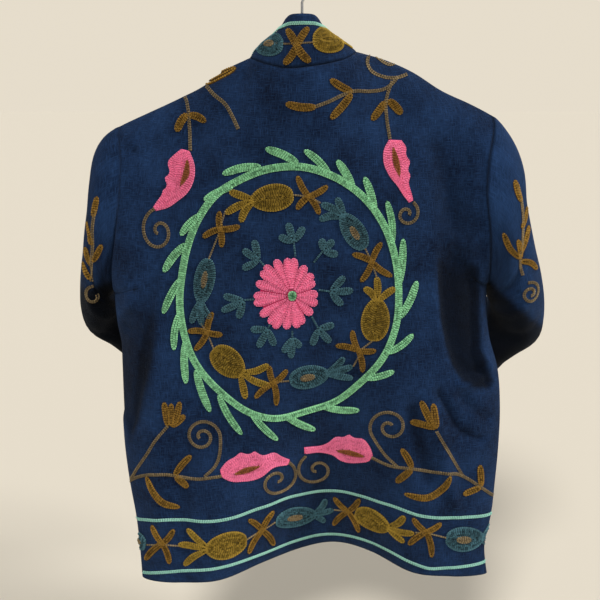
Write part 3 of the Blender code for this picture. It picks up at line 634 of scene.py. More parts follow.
# sleeve folds go round the bend: points as the angle from the outer line in degrees and the distance down in
# millimetres, then half width and height
sleeveFolds = {
    "sleeveLeft": (
        ((40, 60), (100, 95), (150, 120), 11, -3.4), ((60, 120), (120, 150), (180, 165), 9, 3.0),
        ((20, 150), (60, 175), (120, 195), 9, -3.2), ((200, 70), (270, 110), (330, 150), 12, -3.6),
        ((180, 170), (250, 190), (320, 215), 10, 3.4), ((190, 205), (240, 225), (300, 240), 9, -3.6),
        ((30, 260), (100, 275), (170, 300), 12, 2.6), ((200, 300), (260, 330), (330, 350), 12, -2.8),
    ),
    "sleeveRight": (
        ((35, 70), (95, 105), (150, 125), 11, -3.4), ((55, 125), (115, 155), (175, 170), 9, 3.2),
        ((25, 160), (70, 180), (130, 205), 9, -3.0), ((210, 80), (280, 120), (335, 160), 12, -3.6),
        ((185, 180), (255, 200), (325, 220), 10, 3.2), ((195, 215), (250, 235), (305, 250), 9, -3.4),
        ((20, 270), (95, 290), (160, 310), 12, 2.6), ((190, 310), (265, 335), (330, 365), 12, -2.6),
    ),
}


# shade under the bent sleeves: height where it starts, how that falls outwards, from which place across, and
# its depth, in metres
sleeveShade = {"sleeveLeft": (-0.384, 0.3, 0.235, 0.014), "sleeveRight": (-0.388, 0.85, 0.238, 0.013)}

# shade that is laid into the cloth's colour, with lengths in millimetres where no other unit is named
clothShade = {
    "troughDark": 0.6, "troughFrom": 1.0, "troughOver": 7,
    "slopeOutside": 0.2, "borderOutside": 0.5,  # shares of a hollow's slope and border outside its corners
    "seamDark": 0.65, "seamDarkLeft": 0.2, "seamWidth": 2.4,
    "underReach": 0.08,  # metres across over which the shade under a sleeve falls
    "underFacing": 0.55, "underOver": 0.5,
}


def shapePanel(panel):
    grid, name = panel["grid"], panel["name"]
    height = np.zeros(grid.shape[:2])
    spots = np.stack((grid[..., 0], grid[..., 2]), -1) * 1000
    for points, *measures in folds.get(name, ()):
        height += foldHeight(spots, points, *measures)
    if name in sleeveFolds:
        angles = np.arange(grid.shape[1]) * 360 / grid.shape[1]
        down = -panel["paper"][..., 1]
        reach = 0.95  # millimetres of cloth for a degree round the sleeve
        wrapped = np.stack((np.broadcast_to(angles * reach, down.shape), down), -1)
        for *points, halfWidth, high in sleeveFolds[name]:
            fold = foldHeight(wrapped, [(a * reach, d) for a, d in points], halfWidth, high)
            height += folds["sleeveShare"] * fold
    shade = clothShade["troughDark"] * smooth((-height - clothShade["troughFrom"]) / clothShade["troughOver"])
    for corners, deep, slope, dark, border, (top, full) in hollows.get(name, ()):
        inside = fieldInside(spots, corners)
        entry = smooth((top - spots[..., 1]) / (top - full))
        height -= deep * smooth(inside / slope + clothShade["slopeOutside"]) * entry
        shade = np.maximum(shade, dark * smooth(inside / border + clothShade["borderOutside"]) * entry)
    width, depth = folds["seamDitch"]
    fade = np.ones_like(height)
    ditch = np.zeros_like(height)
    for edge, first, last in panel["seamEdges"]:
        away = panel["fromEdge"][edge] * 1000
        fade *= smooth(away / folds["seamFade"])
        ditch = np.maximum(ditch, depth * np.exp(-(away / width) ** 2))
        dark = clothShade["seamDarkLeft" if "Left" in name or edge == "left" else "seamDark"]
        shade = np.maximum(shade, dark * np.exp(-(away / clothShade["seamWidth"]) ** 2))
    if name == "collar":
        ditch *= folds["collarDitch"]
    panel["grid"] = grid + panel["normals"] * ((height * fade - ditch) / 1000)[..., None]
    edges = panel["normals"][edgeMask(panel)].copy()
    fresh = gridNormals(panel["grid"], panel["closed"])
    if np.sum(fresh * panel["normals"]) < 0:
        fresh = -fresh
    panel["normals"] = fresh
    panel["normals"][edgeMask(panel)] = edges
    # the cloth's colour takes this as painted shade: darker in troughs, hollows and along seams
    panel["paintedShade"] = shade
    if name in sleeveFolds:  # the underside of the forearm lies in deep shade
        start, fall, inner, depth = sleeveShade[name]
        outwards = np.clip(np.abs(panel["grid"][..., 0]) - inner, 0, clothShade["underReach"])
        below = smooth((start - fall * outwards - panel["grid"][..., 2]) / depth)
        under = smooth((clothShade["underFacing"] - panel["normals"][..., 2]) / clothShade["underOver"])
        panel["paintedShade"] = np.maximum(panel["paintedShade"], below * under)


for panel in panels.values():
    shapePanel(panel)
print("folds laid in")


def tint(text):
    parts = [int(text[i:i + 2], 16) / 255 for i in (1, 3, 5)]
    return tuple(p / 12.92 if p <= 0.04045 else ((p + 0.055) / 1.055) ** 2.4 for p in parts)


def feed(tree, socket, value):
    if isinstance(value, bpy.types.NodeSocket):
        tree.links.new(value, socket)
    else:
        socket.default_value = value


def addNode(tree, kind, **values):
    made = tree.nodes.new(kind)
    for name, value in values.items():
        if name in made.inputs:
            feed(tree, made.inputs[name], value)
        else:
            setattr(made, name, value)
    return made


def maths(tree, operation, *values, clamp=False):
    made = addNode(tree, "ShaderNodeMath", operation=operation, use_clamp=clamp)
    for socket, value in zip(made.inputs, values):
        feed(tree, socket, value)
    return made.outputs[0]


def remap(tree, value, low, high, start=0.0, end=1.0):
    limits = {"From Min": start, "From Max": end, "To Min": low, "To Max": high}
    return addNode(tree, "ShaderNodeMapRange", Value=value, **limits).outputs["Result"]


def noise(tree, place, scale, detail, roughness=0.5, distortion=0.0):
    return addNode(tree, "ShaderNodeTexNoise", Vector=place, Scale=scale, Detail=detail, Roughness=roughness,
                   Distortion=distortion).outputs["Fac"]


def blend(tree, share, dark, light):
    made = addNode(tree, "ShaderNodeMix", data_type="RGBA", Factor=share)
    tree.links.new(dark, made.inputs[6])
    tree.links.new(light, made.inputs[7])
    return made.outputs[2]


def painted(tree, name):
    return addNode(tree, "ShaderNodeAttribute", attribute_name=name).outputs["Fac"]


def placeOn(tree, kind):
    return addNode(tree, "ShaderNodeTexCoord").outputs[kind]


def newGroup(name, **inputs):
    # a node group that gives colour, height and roughness, from its colours (three numbers) and shares (one)
    group = bpy.data.node_groups.new(name, "ShaderNodeTree")
    for label, value in inputs.items():
        kind = "NodeSocketColor" if isinstance(value, tuple) else "NodeSocketFloat"
        socket = group.interface.new_socket(label, in_out="INPUT", socket_type=kind)
        socket.default_value = (*value, 1) if isinstance(value, tuple) else value
    for label, kind in (("Colour", "Color"), ("Height", "Float"), ("Roughness", "Float")):
        group.interface.new_socket(label, in_out="OUTPUT", socket_type="NodeSocket" + kind)
    return group, group.nodes.new("NodeGroupInput").outputs


def giveOut(group, **values):
    result = group.nodes.new("NodeGroupOutput")
    for label, value in values.items():
        group.links.new(value, result.inputs[label])


# the weave's grain: slubs along warp and weft, a wash that wears the colour unevenly, paler free edges with
# painted highlights and painted light, darker painted shade, and the threads' relief
weaveLook = {
    "slubs": (((95, 900, 1), 0.0), ((900, 80, 1), 7.0)),  # scale and shift of the warp's, then of the weft's
    "slubRange": (0.46, 0.78),
    "washScale": 13.0,
    "washRange": (0.35, 0.7),
    "paleEdgeAndLightShare": 0.22,
    "darkestPaintedShade": 0.07,  # share of the colour that is left where the painted shade is darkest
    "threads": 390.0,
    "threadHeight": 0.55,
    "rough": (0.92, 0.76),
}


def slubWeaveGroup():
    group, given = newGroup(
        "slubWeave", Ground=(0.01, 0.02, 0.06), Thread=(0.03, 0.06, 0.13), Slub=0.5, Wash=0.3)
    place = placeOn(group, "UV")
    streaks = []
    for scale, shift in weaveLook["slubs"]:
        stretch = addNode(group, "ShaderNodeMapping", Vector=place, Scale=scale, Location=(shift, shift, 0))
        streaks.append(noise(group, stretch.outputs["Vector"], 1.0, 3.0, 0.6))
    slub = remap(group, maths(group, "MAXIMUM", *streaks), 0.0, 1.0, *weaveLook["slubRange"])
    clouds = noise(group, place, weaveLook["washScale"], 7.0, 0.68)
    wash = remap(group, clouds, 0.0, 1.0, *weaveLook["washRange"])
    slubShare = maths(group, "MULTIPLY", slub, given["Slub"])
    washShare = maths(group, "MULTIPLY", wash, given["Wash"])
    share = maths(group, "ADD", slubShare, washShare, clamp=True)
    # paler at free edges, with a painted highlight beside each seam and painted light over the right sleeve
    share = maths(group, "MULTIPLY_ADD", painted(group, "edge"), weaveLook["paleEdgeAndLightShare"], share, clamp=True)
    # the colour is darkened by the painted shade
    shaded = addNode(group, "ShaderNodeVectorMath", operation="SCALE",
                     Scale=remap(group, painted(group, "paintedShade"), 1.0, weaveLook["darkestPaintedShade"]))
    group.links.new(blend(group, share, given["Ground"], given["Thread"]), shaded.inputs[0])
    waves = [addNode(group, "ShaderNodeTexWave", Vector=place, Scale=weaveLook["threads"], Distortion=1.2,
                     Detail=1.0, bands_direction=way).outputs["Fac"] for way in ("X", "Y")]
    height = maths(group, "MULTIPLY_ADD", maths(group, "MAXIMUM", *waves), weaveLook["threadHeight"], slub)
    giveOut(group, Colour=shaded.outputs[0], Height=height, Roughness=remap(group, slub, *weaveLook["rough"]))
    return group


def yarnGroup():
    group, given = newGroup("twistedYarn", Light=(0.5, 0.5, 0.5), Dark=(0.2, 0.2, 0.2), Fuzz=0.3)
    fibre = noise(group, placeOn(group, "Object"), 420.0, 4.0, 0.8)
    uneven = maths(group, "MULTIPLY_ADD", fibre, given["Fuzz"], painted(group, "tone"))
    centred = maths(group, "MULTIPLY_ADD", given["Fuzz"], -0.5, uneven, clamp=True)
    colour = blend(group, centred, given["Dark"], given["Light"])
    giveOut(group, Colour=colour, Height=fibre, Roughness=remap(group, fibre, 0.58, 0.82))
    return group


weave, yarn = slubWeaveGroup(), yarnGroup()


def newShader(name, **values):
    made = bpy.data.materials.new(name)
    made.use_nodes = True
    shader = made.node_tree.nodes["Principled BSDF"].inputs
    for label, value in values.items():
        shader[label].default_value = value
    return made, made.node_tree, shader


def addRelief(tree, shader, height, strength, distance):
    relief = addNode(tree, "ShaderNodeBump", Height=height, Strength=strength, Distance=distance)
    tree.links.new(relief.outputs["Normal"], shader["Normal"])


def fibreMaterial(name, group, values, bump, sheen, sheenTint):
    finish = {"Specular IOR Level": 0.06, "Sheen Weight": sheen, "Sheen Roughness": 0.5,
              "Sheen Tint": (*sheenTint, 1)}
    made, tree, shader = newShader(name, **finish)
    effect = tree.nodes.new("ShaderNodeGroup")
    effect.node_tree = group
    for label, value in values.items():
        effect.inputs[label].default_value = (*value, 1) if isinstance(value, tuple) else value
    addRelief(tree, shader, effect.outputs["Height"], bump, 0.0006)
    tree.links.new(effect.outputs["Colour"], shader["Base Color"])
    tree.links.new(effect.outputs["Roughness"], shader["Roughness"])
    return made


clothLook = {"ground": "#030b1e", "thread": "#203b62", "slub": 0.7, "wash": 0.52, "bump": 1.0,
             "sheen": 0.04, "sheenTint": (0.55, 0.66, 0.9)}
navyCotton = fibreMaterial("navyCotton", weave, {
    "Ground": tint(clothLook["ground"]), "Thread": tint(clothLook["thread"]),
    "Slub": clothLook["slub"], "Wash": clothLook["wash"],
}, clothLook["bump"], clothLook["sheen"], clothLook["sheenTint"])

yarnLook = {
    "fuzz": 0.8, "bump": 0.6, "sheen": 0.03,
    # light and dark shade of each yarn
    "shades": {
        "mint": ("#a3e3ad", "#225535"),
        "paleMint": ("#a3d6c4", "#5f9686"),
        "pink": ("#ff8ab0", "#b02854"),
        "ochre": ("#96722f", "#35240c"),
        "olive": ("#ac8d38", "#3b2d08"),
        "teal": ("#4f7680", "#0c1c24"),
        "tan": ("#a08c68", "#3a2c1c"),
        "brown": ("#9c6038", "#5a3016"),
    },
}
yarns = {}
for name, (light, dark) in yarnLook["shades"].items():
    values = {"Light": tint(light), "Dark": tint(dark), "Fuzz": yarnLook["fuzz"]}
    yarns[name] = fibreMaterial(name + "Yarn", yarn, values, yarnLook["bump"], yarnLook["sheen"], (1, 1, 1))
print("cloth and yarn materials made")


def addToScene(name, data):
    made = bpy.data.objects.new(name, data)
    bpy.context.scene.collection.objects.link(made)
    return made


def addMesh(name, verts, faces, material, values=None, uvs=None):
    mesh = bpy.data.meshes.new(name)
    mesh.from_pydata(verts, [], faces)
    mesh.materials.append(material)
    mesh.polygons.foreach_set("use_smooth", [True] * len(mesh.polygons))
    for label, numbers in (values or {}).items():
        attribute = mesh.attributes.new(label, "FLOAT", "POINT")
        attribute.data.foreach_set("value", np.asarray(numbers, np.float32))
    if uvs is not None:
        loops = np.empty(len(mesh.loops), np.int32)
        mesh.loops.foreach_get("vertex_index", loops)
        layer = mesh.uv_layers.new(name="cloth")
        layer.data.foreach_set("uv", np.asarray(uvs, np.float32)[loops].ravel())
    made = addToScene(name, mesh)
    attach(made, "root")
    return made


def gridFaces(rows, cols, closed, flip, offset=0, reverse=False):
    r, c = np.meshgrid(np.arange(rows - 1), np.arange(cols if closed else cols - 1), indexing="ij")
    d = (c + 1) % cols
    quads = np.stack((r * cols + c, r * cols + d, (r + 1) * cols + d, (r + 1) * cols + c), -1).reshape(-1, 4)
    if flip != reverse:
        quads = quads[:, ::-1]
    return quads + offset


# where the cloth is paler: at free edges, as a painted highlight in a line beside each seam, and as painted
# light over a whole panel that catches more light
paleEdgesAndPaintedLight = {
    "freeEdgeWidth": 2.2, "seamShare": 0.45, "seamAway": 3.0, "seamWidth": 2.0,  # widths in millimetres
    "panels": {"sleeveRight": 0.9},
}


def paleEdgeAndLightShare(panel):
    seams = {e for e, first, last in panel["seamEdges"]}
    edge = np.full(panel["grid"].shape[:2], paleEdgesAndPaintedLight["panels"].get(panel["name"], 0.0))
    for name, away in panel["fromEdge"].items():
        away = away * 1000
        if name in seams:
            beside = np.exp(-((away - paleEdgesAndPaintedLight["seamAway"]) / paleEdgesAndPaintedLight["seamWidth"]) ** 2)
            edge = np.maximum(edge, paleEdgesAndPaintedLight["seamShare"] * beside)
        else:
            edge = np.maximum(edge, np.exp(-(away / paleEdgesAndPaintedLight["freeEdgeWidth"]) ** 2))
    return edge


def buildSheet(panel):
    grid, normals = panel["grid"], panel["normals"]
    rows, cols = grid.shape[:2]
    half = bodyForm["thickness"] / 2
    outer, inner = grid + normals * half, grid - normals * half
    count = rows * cols
    flip = panel["flip"]
    faces = gridFaces(rows, cols, panel["closed"], flip).tolist()
    faces += gridFaces(rows, cols, panel["closed"], flip, count, True).tolist()
    rims = [[r * cols + c for c in range(cols)] for r in (0, rows - 1)]
    if not panel["closed"]:
        rims += [[r * cols + c for r in range(rows)] for c in (0, cols - 1)]
    for k, rim in enumerate(rims):
        around = rim + rim[:1] if panel["closed"] else rim
        for a, b in zip(around, around[1:]):
            quad = [a, b, count + b, count + a]
            faces.append(quad if (k in (0, 3)) == flip else quad[::-1])
    paper = panel["paper"].reshape(-1, 2) / 1000
    verts = np.concatenate((outer.reshape(-1, 3), inner.reshape(-1, 3))).tolist()
    shares = {"edge": np.tile(paleEdgeAndLightShare(panel).ravel(), 2), "paintedShade": np.tile(panel["paintedShade"].ravel(), 2)}
    made = addMesh(panel["name"] + "Cloth", verts, faces, navyCotton, shares, np.tile(paper, (2, 1)))
    return made


nodeOf = {"back": "back", "frontLeft": "front_left", "frontRight": "front_right",
          "sleeveLeft": "sleeve_left", "sleeveRight": "sleeve_right", "collar": "collar"}
for name, panel in panels.items():
    buildSheet(panel)
    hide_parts(nodeOf[name])
print("cloth panels built")

# the embroidery is drawn on each panel in millimetres and then laid on its cloth
stitchSize = {
    "rowWidth": 2.5,
    "link": 3.4,
    "overlap": 0.84,
    "high": 1.75,
    "groundLift": 0.25,
    "shortestRow": 1.5,
    "longestStep": 0.012,  # metres; a longer step has left the cloth
    "paceSway": 0.07,
    "slowTone": 0.06,
    "unevenTone": 0.75,
    "calmTones": {"tan": 0.3, "paleMint": 0.3, "pink": 0.45, "olive": 0.5},  # colours whose links differ less
}


def readyToLay(panel):
    grid = panel["grid"] + panel["normals"] * bodyForm["thickness"] / 2
    flat = panel["view"](grid) if panel["view"] else np.concatenate(
        (panel["paper"] / 1000, np.zeros(grid.shape[:2] + (1,))), axis=2)
    rows, cols = grid.shape[:2]
    quads = gridFaces(rows, cols, panel["closed"], False)
    triangles = np.concatenate((quads[:, [0, 1, 2]], quads[:, [0, 2, 3]])).tolist()
    panel["triangles"] = triangles
    panel["flat"] = [Vector(p) for p in flat.reshape(-1, 3).tolist()]
    panel["spots"] = [Vector(p) for p in grid.reshape(-1, 3).tolist()]
    panel["facings"] = [Vector(p) for p in panel["normals"].reshape(-1, 3).tolist()]
    panel["tree"] = BVHTree.FromPolygons(panel["flat"], triangles)


def layOn(panel, points):
    places, facings = np.zeros((len(points), 3)), np.zeros((len(points), 3))
    found = np.zeros(len(points), bool)
    flat, spots, normals = panel["flat"], panel["spots"], panel["facings"]
    down = Vector((0, 0, -1))
    for k, (x, z) in enumerate(points):
        hit, facing, index, distance = panel["tree"].ray_cast(Vector((x / 1000, z / 1000, 2.0)), down)
        if hit is None:
            continue
        a, b, c = panel["triangles"][index]
        places[k] = barycentric_transform(hit, flat[a], flat[b], flat[c], spots[a], spots[b], spots[c])
        facings[k] = barycentric_transform(hit, flat[a], flat[b], flat[c], normals[a], normals[b], normals[c])
        found[k] = True
    facings /= np.maximum(np.linalg.norm(facings, axis=1), 1e-9)[:, None]
    return places, facings, found


for panel in panels.values():
    readyToLay(panel)

rowsOf, groundsOf = {}, {}


def addRow(panel, colour, points, tone, width=None, closed=False, lift=0.0):
    rowsOf.setdefault((panel, colour), []).append(
        (np.asarray(points, float), tone, width or stitchSize["rowWidth"], closed, lift))


def addGround(panel, colour, grid, high, tone):
    groundsOf.setdefault((panel, colour), []).append((grid, high, tone))


def squareTo(line):
    way = np.gradient(line, axis=0)
    way /= np.maximum(np.linalg.norm(way, axis=1), 1e-9)[:, None]
    return np.stack((-way[:, 1], way[:, 0]), -1)


# a filled shape: a thin ground, darker as painted shade between the stitches, and rows from the rim inwards
# that each lie a little higher
filling = {
    "groundHigh": 0.6, "groundCells": 6, "groundShade": -0.5,
    "mostRows": 30, "room": 0.55, "endGap": 0.7, "lastRoom": 1.75,  # shares of a row's width and inset
    "rise": 0.16, "highestRow": 3, "toneStep": 0.16,
}


def fillShape(panel, colour, spine, halfLeft, halfRight, tones=(0.95, 0.55), rowWidth=None, lift=0.0):
    width = rowWidth or stitchSize["rowWidth"]
    square = squareTo(spine)
    across = np.linspace(-1, 1, filling["groundCells"] + 1)
    side = np.where(across[None, :] > 0, halfLeft[:, None], halfRight[:, None]) * across[None, :]
    grid = spine[:, None, :] + square[:, None, :] * side[..., None]
    addGround(panel, colour, grid, filling["groundHigh"] + lift, tones[1] + filling["groundShade"])
    run = runAlong(spine)
    for k in range(filling["mostRows"]):
        inset = (k + 0.5) * width
        room = halfLeft + halfRight - 2 * k * width
        gap = inset * filling["endGap"]
        keep = (room > width * filling["room"]) & (run > gap) & (run < run[-1] - gap)
        if keep.sum() < 3:
            break
        first, last = np.flatnonzero(keep)[0], np.flatnonzero(keep)[-1]
        span = slice(first, last + 1)
        tone = tones[0] if k == 0 else tones[1] + filling["toneStep"] * (k % 2)
        rise = lift + min(k, filling["highestRow"]) * filling["rise"]
        middle = (halfLeft - halfRight) / 2
        if room[span].max() < width * filling["lastRoom"]:
            addRow(panel, colour, spine[span] + square[span] * middle[span, None], tone, width, lift=rise)
            break
        up = spine[span] + square[span] * np.maximum(halfLeft - inset, middle)[span, None]
        low = spine[span] - square[span] * np.maximum(halfRight - inset, -middle)[span, None]
        addRow(panel, colour, np.concatenate((up, low[::-1])), tone, width, closed=True, lift=rise)


# how blunt the ends of a form are, how wide its root is as a share, and how far along it is at its widest
leafForms = {
    "blunt": (3.4, 1.0, 1.0), "finger": (4, 0.62, 0.6), "petal": (6, 0.25, 0.8), "oval": (2, 1.0, 1.0),
}


def profile(kind, t):
    if kind == "pointed":
        return np.clip(np.sin(np.pi * t), 0, 1) ** 0.75
    blunt, root, widest = leafForms[kind]
    return np.clip(1 - np.abs(2 * t - 1) ** blunt, 0, 1) ** 0.5 * (root + (1 - root) * smooth(t / widest))


def between(start, end, share=0.5, sway=0.0, drop=0.0):
    # a point on the way, set off sideways by a share of the way and down by some millimetres
    across, up = end[0] - start[0], end[1] - start[1]
    return (start[0] + share * across - sway * up, start[1] + share * up + sway * across - drop)


def polar(centre, degrees, radius):
    angle = math.radians(degrees)
    return (centre[0] + radius * math.cos(angle), centre[1] + radius * math.sin(angle))


def curl(centre, radius, start, sweep, inner, narrow=1.0):
    steps = np.linspace(0, 1, 26)
    line = [polar((0, 0), start + sweep * t, radius + (inner - radius) * t**0.9) for t in steps]
    return [(centre[0] + x * narrow, centre[1] + z) for x, z in line]


def leaf(panel, colour, points, width, kind="blunt", tones=(0.95, 0.5), lift=0.1):
    spine = smoothLine(points, step=1.6)
    if len(spine) < 6:
        spine = evenly(spine, np.linalg.norm(spine[-1] - spine[0]) / 6)
    half = width / 2 * profile(kind, np.linspace(0, 1, len(spine)))
    fillShape(panel, colour, spine, half, half, tones, lift=lift)


# each kind of stem: colour, rows side by side, tone, width of a row, lift
stems = {
    "single": ("tan", 1, 0.7, 2.2, 0.0),
    "vine": ("tan", 2, 0.5, 2.1, 0.0),
    "sprig": ("teal", 1, 0.8, 2.2, 0.0),
    "paleLine": ("paleMint", 2, 0.8, 2.1, 0.2),
}


def stem(panel, points, kind, rowWidth=None, lift=None):
    colour, rows, tone, width, usualLift = stems[kind]
    width, lift = rowWidth or width, usualLift if lift is None else lift
    spine = smoothLine(points, step=2.0)
    square = squareTo(spine)
    for k in range(rows):
        line = spine + square * (k - (rows - 1) / 2) * width
        addRow(panel, colour, line, tone + 0.12 * (k % 2), width, lift=lift)


starForm = {"past": -0.14, "bend": 0.55, "sway": 0.06, "tones": (0.9, 0.5), "lift": 0.15, "nextLift": 0.12}


def star(panel, centre, tips, width=8.0):
    for k, tip in enumerate(tips):
        near = between(centre, tip, starForm["past"])
        bend = between(centre, tip, starForm["bend"], starForm["sway"] * (-1) ** k)
        lift = starForm["lift"] + starForm["nextLift"] * k
        leaf(panel, "ochre", (near, bend, tip), width, "blunt", starForm["tones"], lift)


budForm = {
    "fingerStart": 0.12, "fingerSway": -0.04, "fingerTones": (0.9, 0.45), "fingerLift": 0.05,
    "fullness": (1.15, 0.95), "rootHalf": 4.8, "rootFrom": 0.1, "rootOver": 0.3, "lift": 0.25,
    "core": (0.34, 0.74), "coreWidth": 0.3, "coreTones": (0.6, 0.45), "coreLift": 1.7,
}


def bud(panel, colour, top, root, tips, width, fingerWidth=9.5):
    start = between(root, top, budForm["fingerStart"])
    for tip in tips:
        bend = between(root, tip, 0.5, budForm["fingerSway"])
        leaf(panel, colour, (start, bend, tip), fingerWidth, "finger", budForm["fingerTones"],
             budForm["fingerLift"])
    spine = smoothLine((root, between(root, top), top), step=1.6)
    t = np.linspace(0, 1, len(spine))
    skew, full = budForm["fullness"]
    half = width / 2 * profile("oval", t**skew) ** full
    rootShare = 1 - smooth((t - budForm["rootFrom"]) / budForm["rootOver"])
    half = np.maximum(half, budForm["rootHalf"] * rootShare + 0.1)
    cored = colour == "teal"  # the teal buds have a tan core
    fillShape(panel, colour, spine, half, half, (1.0, 0.5 if cored else 0.4), lift=budForm["lift"])
    if cored:
        ends = [between(root, top, share) for share in budForm["core"]]
        leaf(panel, "tan", ends, width * budForm["coreWidth"], "oval", budForm["coreTones"],
             budForm["coreLift"])


def scallopedLeaf(panel, side, points, widths, scallops, veins):
    spine = smoothLine(points, step=1.6)
    t = np.linspace(0, 1, len(spine))
    plain = curve([w[0] for w in widths], [w[1] for w in widths], t)
    wave = np.zeros_like(t)
    for place, wide, high in scallops:
        wave += high * np.exp(-((t - place) / wide) ** 2)
    halves = (plain + wave, plain) if side > 0 else (plain, plain + wave)
    fillShape(panel, "pink", spine, *halves, tones=(1.0, 0.85), lift=0.15)
    leaf(panel, "brown", veins, 8, "pointed", tones=(0.8, 0.55), lift=2.0)


def tulip(panel, *fingers):
    for start, tip, wide in fingers:
        leaf(panel, "ochre", (start, between(start, tip, drop=1.0), tip), wide, "blunt", (0.95, 0.55), 0.1)


def vine(panel, rowWidth, points):
    stem(panel, points, "vine", rowWidth)


def plainLeaf(panel, width, points):
    leaf(panel, "ochre", points, width)


# wreath: a closed band with leaves that grow out of it
wreath = {
    "rows": 4,
    "rowWidth": 2.25,
    "leafWidth": 9.4,
    "leafSwell": 0.07,
    "leafBow": (2.2, 0.8),
    # across, height of the band's middle, from the top round by the left
    "band": (
        (-2, -247), (-40, -250), (-74, -263), (-104, -282), (-124, -308), (-138, -340), (-147, -378),
        (-151, -412), (-148, -448), (-133, -493), (-97, -534), (-62, -558), (-36, -566), (10, -557),
        (44, -544), (72, -519), (103, -480), (117, -440), (119, -404), (112, -352), (98, -316),
        (74, -284), (44, -262),
    ),
    # the point that the leaves bow away from, then each leaf's tip and root, across and height
    "centre": (-16, -407),
    "leaves": (
        (-44, -226, -4, -243), (-96, -257, -48, -247), (-119, -288, -82, -271), (-148, -331, -120, -304),
        (-170, -376, -141, -340), (-172, -428, -149, -383), (-160, -475, -151, -424),
        (-146, -519, -146, -462), (-116, -556, -134, -500), (-76, -586, -106, -532),
        (-31, -598, -66, -555), (18, -587, -24, -562), (74, -556, 26, -553), (116, -501, 80, -512),
        (139, -454, 106, -478), (142, -387, 121, -434), (123, -334, 119, -394), (102, -288, 110, -342),
        (74, -259, 88, -302), (41, -239, 62, -276), (2, -227, 34, -258),
    ),
}


def roundLine(points, step):
    points = np.asarray(points, float)
    wide = np.concatenate((points[-3:], points, points[:4]))
    knots = runAlong(wide)
    dense = curve(knots, wide, np.linspace(knots[3], knots[3 + len(points)], 40 * len(points)))
    line = evenly(dense, step)
    line[-1] = line[0]
    return line


def makeWreath():
    band = roundLine(wreath["band"], step=3.6)
    square = squareTo(np.concatenate((band[-2:-1], band, band[1:2])))[1:-1]
    width, rows = wreath["rowWidth"], wreath["rows"]
    side = rows * width / 2 * np.linspace(-1, 1, filling["groundCells"] + 1)
    strip = band[:, None, :] + square[:, None, :] * side[None, :, None]
    # the band's ground is darker, as painted shade between its rows
    addGround("back", "mint", strip, high=1.1, tone=0.25)
    for k in range(rows):
        line = (band + square * (k - (rows - 1) / 2) * width)[:-1]
        if k in (0, rows - 1):
            addRow("back", "mint", line, 0.9, width, closed=True, lift=0.2)
        else:
            addRow("back", "mint", line, 0.55 + 0.14 * (k % 2), width, closed=True, lift=0.45)
    bow, moreBow = wreath["leafBow"]
    for k, (tipX, tipZ, rootX, rootZ) in enumerate(wreath["leaves"]):
        middle = between((rootX, rootZ), (tipX, tipZ))
        outward = np.array(middle) - wreath["centre"]
        outward = outward / np.linalg.norm(outward) * (bow + moreBow * math.sin(2.3 * k))
        bend = (middle[0] + outward[0], middle[1] + outward[1])
        wide = wreath["leafWidth"] * (1 + wreath["leafSwell"] * math.sin(1.7 * k + 1))
        leaf("back", "mint", ((rootX, rootZ), bend, (tipX, tipZ)), wide, "blunt", (0.85, 0.6), 0.3)


# the ring: buds (colour, top, root, tips that grow from the root, width), stars (centre, tips) and links
ring = {
    "starWidth": 8.0,
    "buds": (
        ("olive", (-10, -280), (-62, -288), ((-88, -277), (-93, -304), (-74, -314)), 33),
        ("teal", (76, -346), (48, -303), ((41, -283), (22, -291), (20, -310)), 28),
        ("olive", (89, -462), (92, -407), ((91, -380), (115, -395), (75, -394)), 36),
        ("teal", (-16, -515), (34, -505), ((53, -483), (64, -495), (65, -512)), 32),
        ("olive", (-111, -473), (-74, -506), ((-41, -492), (-39, -521), (-71, -538)), 37),
        ("teal", (-114, -358), (-126, -416), ((-138, -441), (-124, -444), (-112, -434)), 26),
    ),
    "stars": (
        ((8, -282), ((-6, -257), (31, -269), (21, -304), (-7, -298))),
        ((85, -362), ((97, -338), (111, -381), (71, -387), (60, -352))),
        ((70, -474), ((62, -447), (93, -474), (76, -504), (41, -468))),
        ((-36, -517), ((-41, -493), (-18, -499), (-33, -549), (-60, -537))),
        ((-118, -452), ((-110, -425), (-98, -454), (-135, -476), (-143, -451))),
        ((-99, -322), ((-99, -300), (-74, -318), (-98, -345), (-121, -333))),
    ),
    "links": (
        ((-12, -280), (8, -282)), ((76, -345), (85, -362)), ((92, -384), (86, -366)), ((89, -460),
        (72, -474)), ((64, -496), (72, -480)), ((-16, -515), (-36, -516)), ((-110, -474), (-118, -453)),
        ((-126, -440), (-118, -452)), ((-114, -360), (-99, -324)), ((-92, -300), (-99, -320)),
        ((22, -290), (10, -283)),
    ),
}


def sewRing(row):
    for ends in row["links"]:
        stem("back", ends, "single")
    for centre, tips in row["stars"]:
        star("back", centre, tips, row["starWidth"])
    for sewn in row["buds"]:
        bud("back", *sewn)


# daisy: the oval its petals reach to, its green middle, and the sprigs round it (root, three tips, foot)
daisy = {
    "oval": ((-20.0, -401.5), (39.5, 46.0)),
    "middle": (-12.0, -403.0),
    "petals": 20,
    "petalWidth": 11.4,
    "petalRoot": 0.12,
    "turnSway": 0.2,
    "reachSway": 1.2,
    "sprigWidth": 9.6,
    "groundShare": 0.8,
    "middleSize": 5.6,
    "middleFullness": 1.15,
    "sprigs": (
        ((-10, -337), ((-28, -329), (-17, -313), (2, -318)), (-8, -355)),
        ((25, -348), ((24, -332), (38, -334), (44, -352)), (14, -362)),
        ((34, -398), ((52, -379), (63, -397), (50, -416)), (20, -396)),
        ((20, -445), ((40, -440), (36, -464), (12, -468)), (12, -430)),
        ((-12, -457), ((-24, -477), (-14, -485), (-1, -470)), (-12, -448)),
        ((-42, -445), ((-64, -446), (-55, -470), (-34, -468)), (-37, -435)),
        ((-71, -409), ((-97, -404), (-100, -424), (-79, -433)), (-58, -408)),
        ((-52, -359), ((-72, -346), (-58, -334), (-73, -370)), (-41, -371)),
    ),
}


